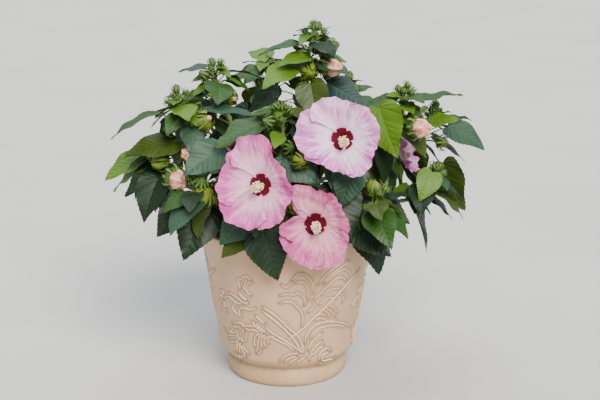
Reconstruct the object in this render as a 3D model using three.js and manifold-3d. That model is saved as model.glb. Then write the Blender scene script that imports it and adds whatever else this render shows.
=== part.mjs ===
// Potted hardy hibiscus: a shrub of upright canes in a tapered ornamental pot.
// Units are millimetres and +Z is up. The front of the plant faces -Y, +X is to its right, and the
// origin is the centre of the pot's flat underside.
//
// A short stem stands on the soil and carries one ring inside another of canes. Each cane runs up into a
// mass of foliage of its own: the cane's leafy top, with leaves on stalks, flower buds and seed pods.
// Leaves are set by a seeded rule, and one that would meet a neighbour is turned, made smaller or skipped.
import * as THREE from "three";
import Module from "manifold-3d";

const wasm = await Module();
wasm.setup();

const UP = new THREE.Vector3(0, 0, 1);

// Pot: a straight taper on a rounded foot ring, with a groove between the two
const POT_HEIGHT = 330;
const POT_RIM_RADIUS = 188;
const POT_WAIST_RADIUS = 148;
const POT_WAIST_HEIGHT = 66;
const POT_WALL = 14;
const POT_FLOOR = 20;
const FOOT_RADIUS = 131;
const FOOT_HEIGHT = 40;
const GROOVE_RADIUS = 127;
const GROOVE_HEIGHT = 4;
const EDGE_ROUNDING = 8;
const FLOOR_ROUNDING = 10;
const POT_SEGMENTS = 32;

// Soil and the short stem that the canes stand on
const GAP = 0.3;
const SOIL_HEIGHT = 305;
const SOIL_EDGE_DROP = 8;
const STEM_BASE_RADIUS = 70;
const STEM_TOP_RADIUS = 58;
const STEM_HEIGHT = 22;
const STEM_SEGMENTS = 20;

// Canes: each is a limb that tapers from its foot to its leafy tip
const CANE_FOOT_RADIUS = 6.5;
const CANE_TIP_RADIUS = 2.4;
const CANE_RINGS = [0, 24, 48];
const CANE_SIDES = 5;
const CANE_STEPS = 4;
const LEADER_SIDES = 5;
const LEADER_STEPS = 3;
const CANE_LEAN_AT_FOOT = 0.45;
const CANE_LEAN_AT_TIP = 0.28;
const CANE_BEND = 0.38;
const FOLIAGE_STARTS = 0.38;

// Leaves: heart-shaped blades on stalks, large and hanging low down, small and level at the tip.
// A pair of sizes is that of the lowest leaf and that of the highest
const LEAVES_FROM = 0.44;
const LEAVES_TO = 0.975;
const LEAF_CROWDING = 0.85;
const GOLDEN_ANGLE = 137.5;
const LEAF_LENGTH = [130, 60];
const LEAF_LENGTH_CURVE = 1.4;
const LEAF_STALK = [88, 24];
const LEAF_STALK_RISE = [18, 38];
const LEAF_DROOP = [58, 2];
const LEAF_FOLD = 0.1;
const LEAF_SAG = 0.14;
const LEAF_THICKNESS = 0.022;
const LEAF_STALK_RADIUS = [1.7, 1.4];
// How far each value of a seeded leaf strays: degrees for the angles, shares for the lengths
const LEAF_SPREAD = { bearing: 14, rise: 8, stalk: 0.16, length: 0.12, droop: 12, roll: 22, fold: 0.16 };
// Ways to set a leaf, tried in turn: change of bearing and droop in degrees, share of its size
const LEAF_TRIES = [
  [0, 0, 1], [22, 0, 1], [-22, 0, 1], [0, 22, 0.9], [40, 12, 0.9], [-40, 12, 0.9], [0, -24, 0.85],
  [65, 0, 0.85], [-65, 0, 0.85], [90, 20, 0.8], [-90, 20, 0.8], [0, 0, 0.62], [130, 0, 0.7], [-130, 0, 0.7],
];
// Half of the blade's outline: distance along the blade and half width there, in blade lengths
const BLADE_OUTLINE = [[-0.05, 0.2], [0.28, 0.38], [0.62, 0.245]];
const MIDRIB_AT = 0.32;

// Buds: a cluster at each tip and larger ones on stalks among the upper leaves
const CLUSTER_STALK = [12, 30];
const CLUSTER_RADIUS = [5.5, 8];
const CLUSTER_SPREAD = [10, 62];
const CLUSTER_STEP = 0.012;
const AXIL_STALK = [38, 60];
const AXIL_RADIUS = [8.5, 11.5];
const AXIL_RANGE = [0.5, 0.9];
const AXIL_RISE = 52;
const AXIL_TURN = 20;
const BUD_SEED_STEP = 500;
const BUD_SLENDERNESS = 1.3;
const BUD_STALK_RADIUS = 1.4;
const BUD_SIDES = 4;
// Rings of a bud: place along it from -1 to 1 and share of its radius there
const BUD_RINGS = [[-0.95, 0.2], [-0.35, 0.95], [0.4, 0.85]];

// Room that a leaf keeps: half of the least distance between two of its sample points
const SAMPLE_STEP = 12;
const BLADE_ROOM = 7.5;
const TWIG_ROOM = 4;
// Share of that room between leaves of one shoot, for the seeded ones and for the named ones
const OWN_ROOM = 0.66;
const NAMED_OWN_ROOM = 0.3;
const POT_ROOM = 5;
const CELL = 30;
// Share of a bloom's radius that nothing in front of it may cover
const BLOOM_VIEW = 0.93;
// Sample points on canes, on bloom stalks past their first stretch, and round the rings of a bloom
const BOUGH_SAMPLES = 20;
const LEADER_SAMPLES = 30;
const BLOOM_STALK_CLEAR = 0.05;
const BLOOM_STALK_SAMPLES = 8;
const BLOOM_SAMPLE_RINGS = [0.2, 0.4, 0.6, 0.8, 1];
const BLOOM_SAMPLES = 44;

// Blooms: five broad petals in a shallow funnel, a column in the middle and a calyx behind
const BLOOM_DEPTH = 30;
const BLOOM_THICKNESS = 2;
const BLOOM_RINGS = [0.12, 0.6, 1];
const BLOOM_SEGMENTS = 15;
const PETALS = 5;
const BLOOM_LOBES = 0.05;
const BLOOM_CURVE = 0.75;
const COLUMN_LENGTH = 40;
const COLUMN_RADIUS = [3, 6.5];
const COLUMN_SIDES = 5;
const CALYX_RADIUS = 13;
const CALYX_LENGTH = 28;
const CALYX_SIDES = 6;
// Rings of a calyx: place along it and share of its radius there
const CALYX_RINGS = [[0.3, 0.8], [0.75, 1], [1.05, 0.3]];
// Rings of a bloom's stalk: place along it and radius there
const BLOOM_STALK_RINGS = [[0, 2.6], [0.2, 2.6], [0.5, 2.6], [0.8, 2.6], [1, 4.2]];
const BLOOM_STALK_REACH = 0.45;

// Every shoot: its foot's ring, its tip, how many leaves and tip buds it has, and where its rule starts
const SHOOTS = {
  top: { ring: 0, tip: [57, 0, 742], leaves: 12, buds: 6, bearing: 0, seed: 474 },
  rearTop: { ring: 1, tip: [-46, 150, 652], leaves: 12, buds: 4, bearing: 15, seed: 374 },
  centre: { ring: 1, tip: [-8, -120, 600], leaves: 12, buds: 5, bearing: 75, seed: 166 },
  behind: { ring: 1, tip: [105, -95, 560], leaves: 10, buds: 2, bearing: 270, seed: 440 },
  upperLeft: { ring: 1, tip: [-155, 50, 652], leaves: 12, buds: 4, bearing: 90, seed: 396 },
  rearRight: { ring: 1, tip: [130, 180, 590], leaves: 11, buds: 3, bearing: 315, seed: 144 },
  left: { ring: 2, tip: [-225, -60, 614], leaves: 12, buds: 6, bearing: 0, seed: 156 },
  upperRight: { ring: 2, tip: [242, -30, 612], leaves: 12, buds: 6, bearing: 240, seed: 181 },
  farRight: { ring: 2, tip: [313, 50, 552], leaves: 12, buds: 6, bearing: 120, seed: 128 },
  frontLeft: { ring: 2, tip: [-75, -150, 500], leaves: 10, buds: 1, bearing: 45, seed: 106 },
  front: { ring: 2, tip: [40, -140, 440], leaves: 9, buds: 1, bearing: 330, seed: 486 },
  frontRight: { ring: 2, tip: [185, -165, 430], leaves: 10, buds: 1, bearing: 285, seed: 55 },
  lowLeft: { ring: 2, tip: [-190, -150, 450], leaves: 10, buds: 1, bearing: 255, seed: 127 },
  farLeft: { ring: 2, tip: [-290, -60, 500], leaves: 11, buds: 3, bearing: 135, seed: 410 },
  lowRight: { ring: 2, tip: [310, -70, 450], leaves: 11, buds: 3, bearing: 225, seed: 317 },
  rearLeft: { ring: 2, tip: [-190, 190, 560], leaves: 10, buds: 2, bearing: 45, seed: 100 },
  rear: { ring: 2, tip: [-30, 260, 500], leaves: 10, buds: 2, bearing: 225, seed: 404 },
  rearLowRight: { ring: 2, tip: [230, 220, 480], leaves: 9, buds: 2, bearing: 90, seed: 420 },
};

// Open blooms: the shoot and the place on it that carries the stalk, the middle of the bloom's margin,
// the way it faces (turn to the right, tilt upward, in degrees), its width and height, and how far
// ahead of it nothing may grow
const BLOOMS = [
  { on: "behind", at: 0.86, centre: [102, -190, 567], turn: -8, tilt: 14, size: [176, 164], view: 400 },
  { on: "frontLeft", at: 0.9, centre: [-63, -245, 492], turn: -22, tilt: 12, size: [176, 196], view: 400 },
  { on: "front", at: 0.86, centre: [56, -222, 394], turn: 6, tilt: 8, size: [152, 176], view: 400 },
  { on: "upperRight", at: 0.72, centre: [262, -30, 492], turn: 78, tilt: 16, size: [112, 112], view: 30 },
  { on: "rearRight", at: 0.66, centre: [135, 262, 420], turn: 165, tilt: 16, size: [176, 170], view: 200 },
  { on: "rearLeft", at: 0.68, centre: [-118, 285, 432], turn: 195, tilt: 14, size: [170, 170], view: 200 },
];

// The bearing that the front of the plant faces
const TO_VIEWER = -90;

// Leaves that stand out at the front: the shoot and the place on it that carries each, the two ends of
// its blade, how far the blade is turned up from the viewer (90 is level) and its roll, in degrees
const NAMED_LEAVES = [
  { on: "frontLeft", at: 0.62, base: [-49, -195, 376], tip: [-17, -206, 268], face: 20, roll: 0 },
  { on: "frontLeft", at: 0.5, base: [-79, -185, 407], tip: [-137, -195, 342], face: 30, roll: -15 },
  { on: "frontLeft", at: 0.75, base: [-74, -172, 362], tip: [-134, -205, 318], face: 50, roll: 10 },
  { on: "front", at: 0.7, base: [-4, -150, 508], tip: [73, -168, 458], face: 45, roll: 0 },
  { on: "behind", at: 0.62, base: [134, -145, 498], tip: [111, -172, 414], face: 25, roll: 0 },
  { on: "rearTop", at: 0.94, base: [-40, 145, 662], tip: [-88, 190, 668], face: 60, roll: 0 },
  { on: "left", at: 0.8, base: [-269, -70, 589], tip: [-361, -110, 546], face: 100, roll: 0 },
  { on: "left", at: 0.76, base: [-168, -60, 592], tip: [-60, -66, 582], face: 92, roll: 0 },
  { on: "top", at: 0.74, base: [84, -20, 640], tip: [160, -65, 604], face: 55, roll: 0 },
  { on: "upperRight", at: 0.66, base: [190, -62, 600], tip: [226, -120, 506], face: 25, roll: 20 },
  { on: "farRight", at: 0.82, base: [345, 30, 534], tip: [424, 0, 494], face: 65, roll: 0 },
  { on: "upperRight", at: 0.93, base: [282, -10, 601], tip: [373, 20, 613], face: 95, roll: 0 },
  { on: "lowRight", at: 0.94, base: [331, -20, 469], tip: [375, -52, 369], face: 0, roll: 35 },
  { on: "frontRight", at: 0.8, base: [156, -112, 420], tip: [256, -150, 378], face: 45, roll: 0 },
  { on: "frontRight", at: 0.6, base: [151, -165, 372], tip: [216, -212, 330], face: 35, roll: 0 },
  { on: "farLeft", at: 0.85, base: [-305, -40, 490], tip: [-384, -62, 440], face: 75, roll: 0 },
  { on: "farLeft", at: 0.6, base: [-247, -80, 470], tip: [-336, -110, 426], face: 55, roll: 0 },
  { on: "lowLeft", at: 0.6, base: [-168, -130, 409], tip: [-211, -190, 308], face: 15, roll: 0 },
  { on: "lowLeft", at: 0.8, base: [-212, -120, 412], tip: [-268, -150, 345], face: 25, roll: 0 },
  { on: "centre", at: 0.72, base: [-51, -135, 583], tip: [-146, -172, 540], face: 80, roll: 0 },
  { on: "frontLeft", at: 0.8, base: [-134, -140, 533], tip: [-208, -188, 488], face: 40, roll: 0 },
];

// Buds and seed pods that stand out: the shoot and the place on it that carries each, its middle and
// its radius
const NAMED_BUDS = [
  { on: "top", at: 0.86, centre: [86, -32, 678], radius: 17 },
  { on: "top", at: 0.93, centre: [95, -10, 718], radius: 12 },
  { on: "top", at: 0.9, centre: [32, -12, 704], radius: 12 },
  { on: "top", at: 0.84, centre: [48, -36, 668], radius: 15 },
  { on: "farRight", at: 0.86, centre: [278, 10, 540], radius: 20 },
  { on: "farRight", at: 0.84, centre: [330, 0, 508], radius: 12 },
  { on: "farLeft", at: 0.88, centre: [-229, -125, 465], radius: 19 },
  { on: "left", at: 0.82, centre: [-170, -85, 576], radius: 17 },
  { on: "left", at: 0.66, centre: [-196, -105, 513], radius: 14 },
  { on: "left", at: 0.62, centre: [-262, -85, 492], radius: 16 },
  { on: "left", at: 0.84, centre: [-242, -88, 560], radius: 11 },
  { on: "front", at: 0.84, centre: [16, -176, 424], radius: 16 },
  { on: "frontRight", at: 0.86, centre: [179, -150, 452], radius: 13 },
  { on: "lowLeft", at: 0.86, centre: [-163, -165, 441], radius: 18 },
  { on: "centre", at: 0.9, centre: [-38, -150, 590], radius: 11 },
  { on: "centre", at: 0.72, centre: [10, -150, 536], radius: 13 },
  { on: "upperLeft", at: 0.93, centre: [-176, 30, 648], radius: 10 },
  { on: "upperLeft", at: 0.86, centre: [-118, 10, 602], radius: 13 },
  { on: "upperRight", at: 0.9, centre: [226, -62, 592], radius: 11 },
];

const COLOURS = {
  pot: { color: 0xd9c4a8, roughness: 0.85 },
  soil: { color: 0x3a2d22, roughness: 1 },
  stem: { color: 0x5c4630, roughness: 0.9 },
  cane: { color: 0x6b6a3c, roughness: 0.8 },
  leaf: { color: 0x3f6b2c, roughness: 0.6 },
  bloom: { color: 0xf0b9d2, roughness: 0.7 },
};

const vector = (list) => new THREE.Vector3(...list);
const radians = (degrees) => THREE.MathUtils.degToRad(degrees);
const mix = (pair, share) => pair[0] + (pair[1] - pair[0]) * share;

// Seeded numbers from 0 to 1
function seeded(seed) {
  let state = (seed * 7919) % 2147483647;
  return () => {
    state = (state * 16807) % 2147483647;
    return state / 2147483647;
  };
}

// A level direction on a compass bearing, measured from +X towards +Y
function level(bearing) {
  return new THREE.Vector3(Math.cos(radians(bearing)), Math.sin(radians(bearing)), 0);
}

// A direction that starts level and is raised by some degrees
function raised(direction, degrees) {
  const flat = direction.clone().multiplyScalar(Math.cos(radians(degrees)));
  return flat.addScaledVector(UP, Math.sin(radians(degrees)));
}

// The part of a vector that is square to an axis, at length one
function squareTo(value, axis) {
  return value.clone().addScaledVector(axis, -value.dot(axis)).normalize();
}

// Outer radius of the pot at a height
function potRadius(height) {
  const share = Math.max(0, (height - POT_WAIST_HEIGHT) / (POT_HEIGHT - POT_WAIST_HEIGHT));
  return mix([POT_WAIST_RADIUS, POT_RIM_RADIUS], share);
}

// Shoots: the line of each cane from its foot on the stem to its tip
function makeShoots() {
  const shoots = Object.entries(SHOOTS).map(([key, row]) => {
    const tip = vector(row.tip);
    return { ...row, key, tip, azimuth: Math.atan2(tip.y, tip.x), leafList: [], budList: [] };
  });
  CANE_RINGS.forEach((radius, ring) => {
    const members = shoots.filter((shoot) => shoot.ring === ring).sort((a, b) => a.azimuth - b.azimuth);
    members.forEach((shoot, place) => {
      const angle = members[0].azimuth + (place * 2 * Math.PI) / members.length;
      const footHeight = SOIL_HEIGHT + GAP + STEM_HEIGHT + GAP;
      shoot.foot = new THREE.Vector3(radius * Math.cos(angle), radius * Math.sin(angle), footHeight);
      shoot.curve = caneCurve(shoot.foot, shoot.tip);
      const across = new THREE.Vector3().crossVectors(UP, shoot.tip.clone().sub(shoot.foot));
      shoot.across = across.lengthSq() > 1 ? across.normalize() : new THREE.Vector3(0, 1, 0);
    });
  });
  return shoots;
}

// A cane rises from its foot, swings outward and straightens towards its tip
function caneCurve(foot, tip) {
  const outward = new THREE.Vector3(tip.x - foot.x, tip.y - foot.y, 0).normalize();
  const bend = CANE_BEND * tip.distanceTo(foot);
  const start = UP.clone().addScaledVector(outward, CANE_LEAN_AT_FOOT).normalize();
  const end = UP.clone().addScaledVector(outward, CANE_LEAN_AT_TIP).normalize();
  return new THREE.CubicBezierCurve3(
    foot,
    foot.clone().addScaledVector(start, bend),
    tip.clone().addScaledVector(end, -bend),
    tip,
  );
}

const caneRadius = (along) => mix([CANE_FOOT_RADIUS, CANE_TIP_RADIUS], along);

// The leafy part of a cane starts just clear of the bare part's end
const leaderStart = (shoot) => FOLIAGE_STARTS + GAP / shoot.curve.getLength();

// Space already taken, as sample points that each keep some room round them, sorted into cells
function makeSpace(blooms) {
  const cells = new Map();
  const cellOf = (point) => point.toArray().map((value) => Math.floor(value / CELL));
  const nearby = (point) => {
    const [i, j, k] = cellOf(point);
    const found = [];
    for (const x of [i - 1, i, i + 1]) {
      for (const y of [j - 1, j, j + 1]) {
        for (const z of [k - 1, k, k + 1]) found.push(...(cells.get(`${x} ${y} ${z}`) ?? []));
      }
    }
    return found;
  };
  // A shoot's own twigs may meet its leaves, and its own leaves may come nearer to each other
  const tooNear = (sample, other, owner, ownRoom) => {
    const own = other.owner === owner;
    if (own && (other.twig || sample.twig)) return false;
    const least = (sample.room + other.room) * (own ? ownRoom : 1);
    return sample.point.distanceToSquared(other.point) < least * least;
  };
  const inPot = ({ point, room }) =>
    point.z < POT_HEIGHT + POT_ROOM &&
    Math.hypot(point.x, point.y) < potRadius(point.z) + POT_ROOM + room / 2;
  const hidesBloom = ({ point }) =>
    blooms.some((bloom) => {
      const offset = point.clone().sub(bloom.centre);
      const ahead = offset.dot(bloom.facing);
      const aside = offset.addScaledVector(bloom.facing, -ahead).length();
      return ahead > -BLOOM_DEPTH / 2 && ahead < bloom.view && aside < bloom.radius * BLOOM_VIEW;
    });
  const clear = (sample, owner, ownRoom) =>
    !inPot(sample) &&
    !hidesBloom(sample) &&
    !nearby(sample.point).some((other) => tooNear(sample, other, owner, ownRoom));
  return {
    fits: (samples, owner, ownRoom) => samples.every((sample) => clear(sample, owner, ownRoom)),
    take: (samples, owner) => {
      for (const sample of samples) {
        const key = cellOf(sample.point).join(" ");
        if (!cells.has(key)) cells.set(key, []);
        cells.get(key).push({ ...sample, owner });
      }
    },
  };
}

// Sample points along a line from one point to another
function lineSamples(from, to, room = TWIG_ROOM) {
  const count = Math.max(1, Math.ceil(from.distanceTo(to) / SAMPLE_STEP));
  const samples = [];
  for (let step = 0; step <= count; step += 1) {
    samples.push({ point: from.clone().lerp(to, step / count), room, twig: true });
  }
  return samples;
}

// Sample points along a stretch of a curve
function curveSamples(curve, from, to, count) {
  const samples = [];
  for (let step = 0; step <= count; step += 1) {
    const point = curve.getPoint(mix([from, to], step / count));
    samples.push({ point, room: TWIG_ROOM, twig: true });
  }
  return samples;
}

// A point on a leaf's blade, at shares of its length along and across it
function bladePoint(leaf, along, across, above = 0) {
  const lift = leaf.fold * Math.abs(across) - LEAF_SAG * along * along;
  return leaf.base
    .clone()
    .addScaledVector(leaf.direction, along * leaf.length)
    .addScaledVector(leaf.side, across * leaf.length)
    .addScaledVector(leaf.normal, above + lift * leaf.length);
}

// Half of the blade's width at a share of its length
function bladeHalfWidth(along) {
  const stations = [...BLADE_OUTLINE, [1, 0]];
  for (let k = 0; k + 1 < stations.length; k += 1) {
    const [from, to] = [stations[k], stations[k + 1]];
    if (along <= to[0]) return mix([from[1], to[1]], (along - from[0]) / (to[0] - from[0]));
  }
  return 0;
}

// Sample points all over a leaf's blade
function bladeSamples(leaf) {
  const samples = [];
  const rows = Math.ceil(leaf.length / SAMPLE_STEP);
  for (let row = 0; row <= rows; row += 1) {
    const along = row / rows;
    const half = bladeHalfWidth(along);
    const columns = Math.ceil((half * leaf.length) / SAMPLE_STEP);
    for (let column = -columns; column <= columns; column += 1) {
      const across = columns ? (half * column) / columns : 0;
      samples.push({ point: bladePoint(leaf, along, across), room: BLADE_ROOM });
    }
  }
  return samples;
}

function leafSamples(leaf) {
  return [...lineSamples(leaf.root, leaf.base).slice(1), ...bladeSamples(leaf)];
}

// A leaf from where its stalk leaves the cane, with its blade drooping from the stalk's end
function makeLeaf(shoot, at, form) {
  const outward = level(form.bearing);
  const root = shoot.curve.getPoint(at);
  const base = root.clone().addScaledVector(raised(outward, form.rise), form.stalk);
  const direction = raised(outward, -form.droop);
  const upright = raised(outward, 90 - form.droop);
  const side = new THREE.Vector3().crossVectors(direction, upright);
  const normal = upright.clone().applyAxisAngle(direction, radians(form.roll));
  side.applyAxisAngle(direction, radians(form.roll));
  return { root, base, direction, normal, side, length: form.length, fold: form.fold };
}

// A named leaf, given by the two ends of its blade
function makeNamedLeaf(shoot, row) {
  const root = shoot.curve.getPoint(row.at);
  const base = vector(row.base);
  const tip = vector(row.tip);
  const blade = tip.clone().sub(base);
  const length = blade.length();
  const line = blade.clone().normalize();
  const upright = squareTo(raised(level(TO_VIEWER), row.face), line);
  const normal = upright.applyAxisAngle(line, radians(row.roll));
  const side = new THREE.Vector3().crossVectors(line, normal);
  // The blade sags below the line of its direction, which is raised so that it ends at the named tip
  const direction = blade.addScaledVector(normal, LEAF_SAG * length).normalize();
  return { root, base, direction, normal, side, length, fold: LEAF_FOLD };
}

// Where on its cane a leaf sits: the leaves crowd towards the tip
const leafPlace = (share) => mix([LEAVES_FROM, LEAVES_TO], share ** LEAF_CROWDING);

// The seeded leaves of a shoot, from its tip down
function growLeaves(shoot, space) {
  const draw = seeded(shoot.seed);
  const around = (spread) => (draw() * 2 - 1) * spread;
  for (let number = shoot.leaves - 1; number >= 0; number -= 1) {
    const share = number / (shoot.leaves - 1);
    const form = {
      bearing: shoot.bearing + number * GOLDEN_ANGLE + around(LEAF_SPREAD.bearing),
      rise: mix(LEAF_STALK_RISE, share) + around(LEAF_SPREAD.rise),
      stalk: mix(LEAF_STALK, share) * (1 + around(LEAF_SPREAD.stalk)),
      length: mix(LEAF_LENGTH, share ** LEAF_LENGTH_CURVE) * (1 + around(LEAF_SPREAD.length)),
      droop: mix(LEAF_DROOP, share) + around(LEAF_SPREAD.droop),
      roll: around(LEAF_SPREAD.roll),
      fold: LEAF_FOLD + around(LEAF_SPREAD.fold),
    };
    for (const [turn, drop, size] of LEAF_TRIES) {
      const changed = { ...form, bearing: form.bearing + turn, droop: form.droop + drop };
      changed.length = form.length * size;
      const leaf = makeLeaf(shoot, leafPlace(share), changed);
      if (settle(space, shoot.key, leafSamples(leaf), shoot.leafList, leaf)) break;
    }
  }
}

function budSamples(bud) {
  const stalk = lineSamples(bud.root, bud.centre).slice(1);
  return [...stalk, { point: bud.centre, room: bud.radius + TWIG_ROOM }];
}

// A bud from where its stalk leaves the cane
function makeBud(root, direction, stalk, radius) {
  const centre = root.clone().addScaledVector(direction, stalk);
  return { root, centre, direction, radius };
}

// Puts a leaf or bud on its shoot if its samples have room
function settle(space, owner, samples, list, item, ownRoom = OWN_ROOM) {
  if (!space.fits(samples, owner, ownRoom)) return false;
  space.take(samples, owner);
  list.push(item);
  return true;
}

// The leaves and buds of a shoot that are given one by one
function growNamed(shoot, space) {
  for (const row of NAMED_LEAVES.filter(({ on }) => on === shoot.key)) {
    const leaf = makeNamedLeaf(shoot, row);
    settle(space, shoot.key, leafSamples(leaf), shoot.leafList, leaf, NAMED_OWN_ROOM);
  }
  for (const row of NAMED_BUDS.filter(({ on }) => on === shoot.key)) {
    const root = shoot.curve.getPoint(row.at);
    const stalk = vector(row.centre).sub(root);
    const bud = makeBud(root, stalk.clone().normalize(), stalk.length(), row.radius);
    settle(space, shoot.key, budSamples(bud), shoot.budList, bud, NAMED_OWN_ROOM);
  }
}

// The seeded buds of a shoot: the cluster at its tip, then those beside its upper leaves
function growBuds(shoot, space) {
  const draw = seeded(shoot.seed + BUD_SEED_STEP);
  const tryBud = (bud) => settle(space, shoot.key, budSamples(bud), shoot.budList, bud);
  const top = shoot.curve.getTangent(1);
  for (let number = 0; number < shoot.buds; number += 1) {
    const bearing = shoot.bearing + number * GOLDEN_ANGLE;
    const spread = mix(CLUSTER_SPREAD, number / Math.max(1, shoot.buds - 1));
    const aside = squareTo(level(bearing), top);
    const direction = top.clone().multiplyScalar(Math.cos(radians(spread)));
    direction.addScaledVector(aside, Math.sin(radians(spread)));
    const root = shoot.curve.getPoint(1 - CLUSTER_STEP * number);
    tryBud(makeBud(root, direction, mix(CLUSTER_STALK, draw()), mix(CLUSTER_RADIUS, draw())));
  }
  for (let number = 0; number < shoot.leaves; number += 1) {
    const share = number / (shoot.leaves - 1);
    const bearing = shoot.bearing + number * GOLDEN_ANGLE + AXIL_TURN;
    const stalk = mix(AXIL_STALK, draw());
    const radius = mix(AXIL_RADIUS, draw());
    if (share < AXIL_RANGE[0] || share > AXIL_RANGE[1] || number % 2) continue;
    const root = shoot.curve.getPoint(leafPlace(share));
    tryBud(makeBud(root, raised(level(bearing), AXIL_RISE), stalk, radius));
  }
}

// Blooms and the stalk of each, which starts square to its cane and just clear of it
function makeBlooms(shoots) {
  return BLOOMS.map((row) => {
    const shoot = shoots.find((candidate) => candidate.key === row.on);
    const centre = vector(row.centre);
    const facing = raised(level(TO_VIEWER + row.turn), row.tilt);
    const side = new THREE.Vector3().crossVectors(UP, facing).normalize();
    const top = new THREE.Vector3().crossVectors(facing, side);
    const throat = centre.clone().addScaledVector(facing, -BLOOM_DEPTH);
    const back = throat.clone().addScaledVector(facing, -CALYX_LENGTH);
    const { corners, middle, axis } = leaderSection(shoot, row.at);
    const outward = squareTo(back.clone().sub(middle), axis);
    const surface = Math.max(...corners.map((corner) => corner.sub(middle).dot(outward)));
    const start = middle.clone().addScaledVector(outward, surface + GAP);
    const reach = start.distanceTo(back) * BLOOM_STALK_REACH;
    const stalk = new THREE.CubicBezierCurve3(
      start,
      start.clone().addScaledVector(outward, reach),
      back.clone().addScaledVector(facing, -reach),
      back,
    );
    const radius = Math.max(...row.size) / 2;
    return { ...row, centre, facing, side, top, throat, back, stalk, outward, radius };
  });
}

// A section of a cane's leafy part, which runs straight from each of its rings to the next
function leaderSection(shoot, along) {
  const start = leaderStart(shoot);
  const place = ((along - start) / (1 - start)) * LEADER_STEPS;
  const step = Math.min(Math.floor(place), LEADER_STEPS - 1);
  const [below, above] = [step, step + 1].map((ring) => {
    const share = mix([start, 1], ring / LEADER_STEPS);
    return { middle: shoot.curve.getPoint(share), corners: caneRing(shoot, share, LEADER_SIDES) };
  });
  const axis = above.middle.clone().sub(below.middle).normalize();
  const corners = below.corners.map((corner, k) => corner.lerp(above.corners[k], place - step));
  return { corners, middle: below.middle.lerp(above.middle, place - step), axis };
}

// A point on a bloom's face, at a share of the way to its margin and an angle from its top
function bloomPoint(bloom, share, angle, above = 0) {
  const lobes = 1 + BLOOM_LOBES * share * Math.cos(PETALS * angle);
  const height = BLOOM_DEPTH * (share ** BLOOM_CURVE - 1) + above;
  return bloom.centre
    .clone()
    .addScaledVector(bloom.side, (bloom.size[0] / 2) * share * lobes * Math.sin(angle))
    .addScaledVector(bloom.top, (bloom.size[1] / 2) * share * lobes * Math.cos(angle))
    .addScaledVector(bloom.facing, height);
}

// Sample points on a bloom's stalk, round its calyx and all over its petals
function bloomSamples(bloom) {
  const samples = curveSamples(bloom.stalk, BLOOM_STALK_CLEAR, 1, BLOOM_STALK_SAMPLES);
  samples.push(...lineSamples(bloom.back, bloom.throat, CALYX_RADIUS));
  for (const share of BLOOM_SAMPLE_RINGS) {
    const count = Math.round(share * BLOOM_SAMPLES);
    for (let k = 0; k < count; k += 1) {
      const point = bloomPoint(bloom, share, (k * 2 * Math.PI) / count);
      samples.push({ point, room: BLADE_ROOM });
    }
  }
  return samples;
}

// The whole plant as positions: shoots, blooms, leaves and buds
function growPlant() {
  const shoots = makeShoots();
  const blooms = makeBlooms(shoots);
  const space = makeSpace(blooms);
  for (const shoot of shoots) {
    space.take(curveSamples(shoot.curve, 0, FOLIAGE_STARTS, BOUGH_SAMPLES), "bough");
    space.take(curveSamples(shoot.curve, FOLIAGE_STARTS, 1, LEADER_SAMPLES), shoot.key);
  }
  for (const bloom of blooms) space.take(bloomSamples(bloom), "bloom");
  for (const shoot of shoots) growNamed(shoot, space);
  for (const shoot of shoots) growBuds(shoot, space);
  for (const shoot of shoots) growLeaves(shoot, space);
  return { shoots, blooms };
}

// A closed body from rings of points, with a flat start and a flat or pointed end
function loft(rings, point = null) {
  const sides = rings[0].length;
  const corners = rings.flat();
  const faces = [];
  for (let ring = 0; ring + 1 < rings.length; ring += 1) {
    for (let side = 0; side < sides; side += 1) {
      const next = (side + 1) % sides;
      const [a, b] = [ring * sides + side, ring * sides + next];
      faces.push([a, b, b + sides], [a, b + sides, a + sides]);
    }
  }
  const last = (rings.length - 1) * sides;
  for (let side = 1; side + 1 < sides; side += 1) {
    faces.push([0, side + 1, side]);
    if (!point) faces.push([last, last + side, last + side + 1]);
  }
  if (point) {
    for (let side = 0; side < sides; side += 1) {
      faces.push([last + side, last + ((side + 1) % sides), corners.length]);
    }
    corners.push(point);
  }
  return solid(corners, faces);
}

// A solid from its corners and triangles
function solid(corners, faces) {
  const vertProperties = Float32Array.from(corners.flatMap((corner) => corner.toArray()));
  const triVerts = Uint32Array.from(faces.flat());
  return new wasm.Manifold(new wasm.Mesh({ numProp: 3, vertProperties, triVerts }));
}

// A ring of points round an axis, starting on the given side
function ringAt(centre, axis, start, radius, sides) {
  const first = squareTo(start, axis);
  const second = new THREE.Vector3().crossVectors(axis, first);
  return Array.from({ length: sides }, (_, k) => {
    const angle = (k * 2 * Math.PI) / sides;
    const point = centre.clone().addScaledVector(first, radius * Math.cos(angle));
    return point.addScaledVector(second, radius * Math.sin(angle));
  });
}

// A ring of corners round a cane
function caneRing(shoot, along, sides, axis = shoot.curve.getTangent(along)) {
  return ringAt(shoot.curve.getPoint(along), axis, shoot.across, caneRadius(along), sides);
}

// The bare cane, from a level cut at its foot to where its foliage starts
function caneSolid(shoot) {
  const rings = [caneRing(shoot, 0, CANE_SIDES, UP)];
  for (let step = 1; step <= CANE_STEPS; step += 1) {
    rings.push(caneRing(shoot, (FOLIAGE_STARTS * step) / CANE_STEPS, CANE_SIDES));
  }
  return loft(rings);
}

// The leafy part of the cane
function leaderSolid(shoot) {
  const rings = [];
  for (let step = 0; step <= LEADER_STEPS; step += 1) {
    rings.push(caneRing(shoot, mix([leaderStart(shoot), 1], step / LEADER_STEPS), LEADER_SIDES));
  }
  return loft(rings);
}

// A direction that is never along the given axis, to start a ring of points from
const besideAxis = (axis) => (Math.abs(axis.z) < 0.9 ? UP : new THREE.Vector3(1, 0, 0));

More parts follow.
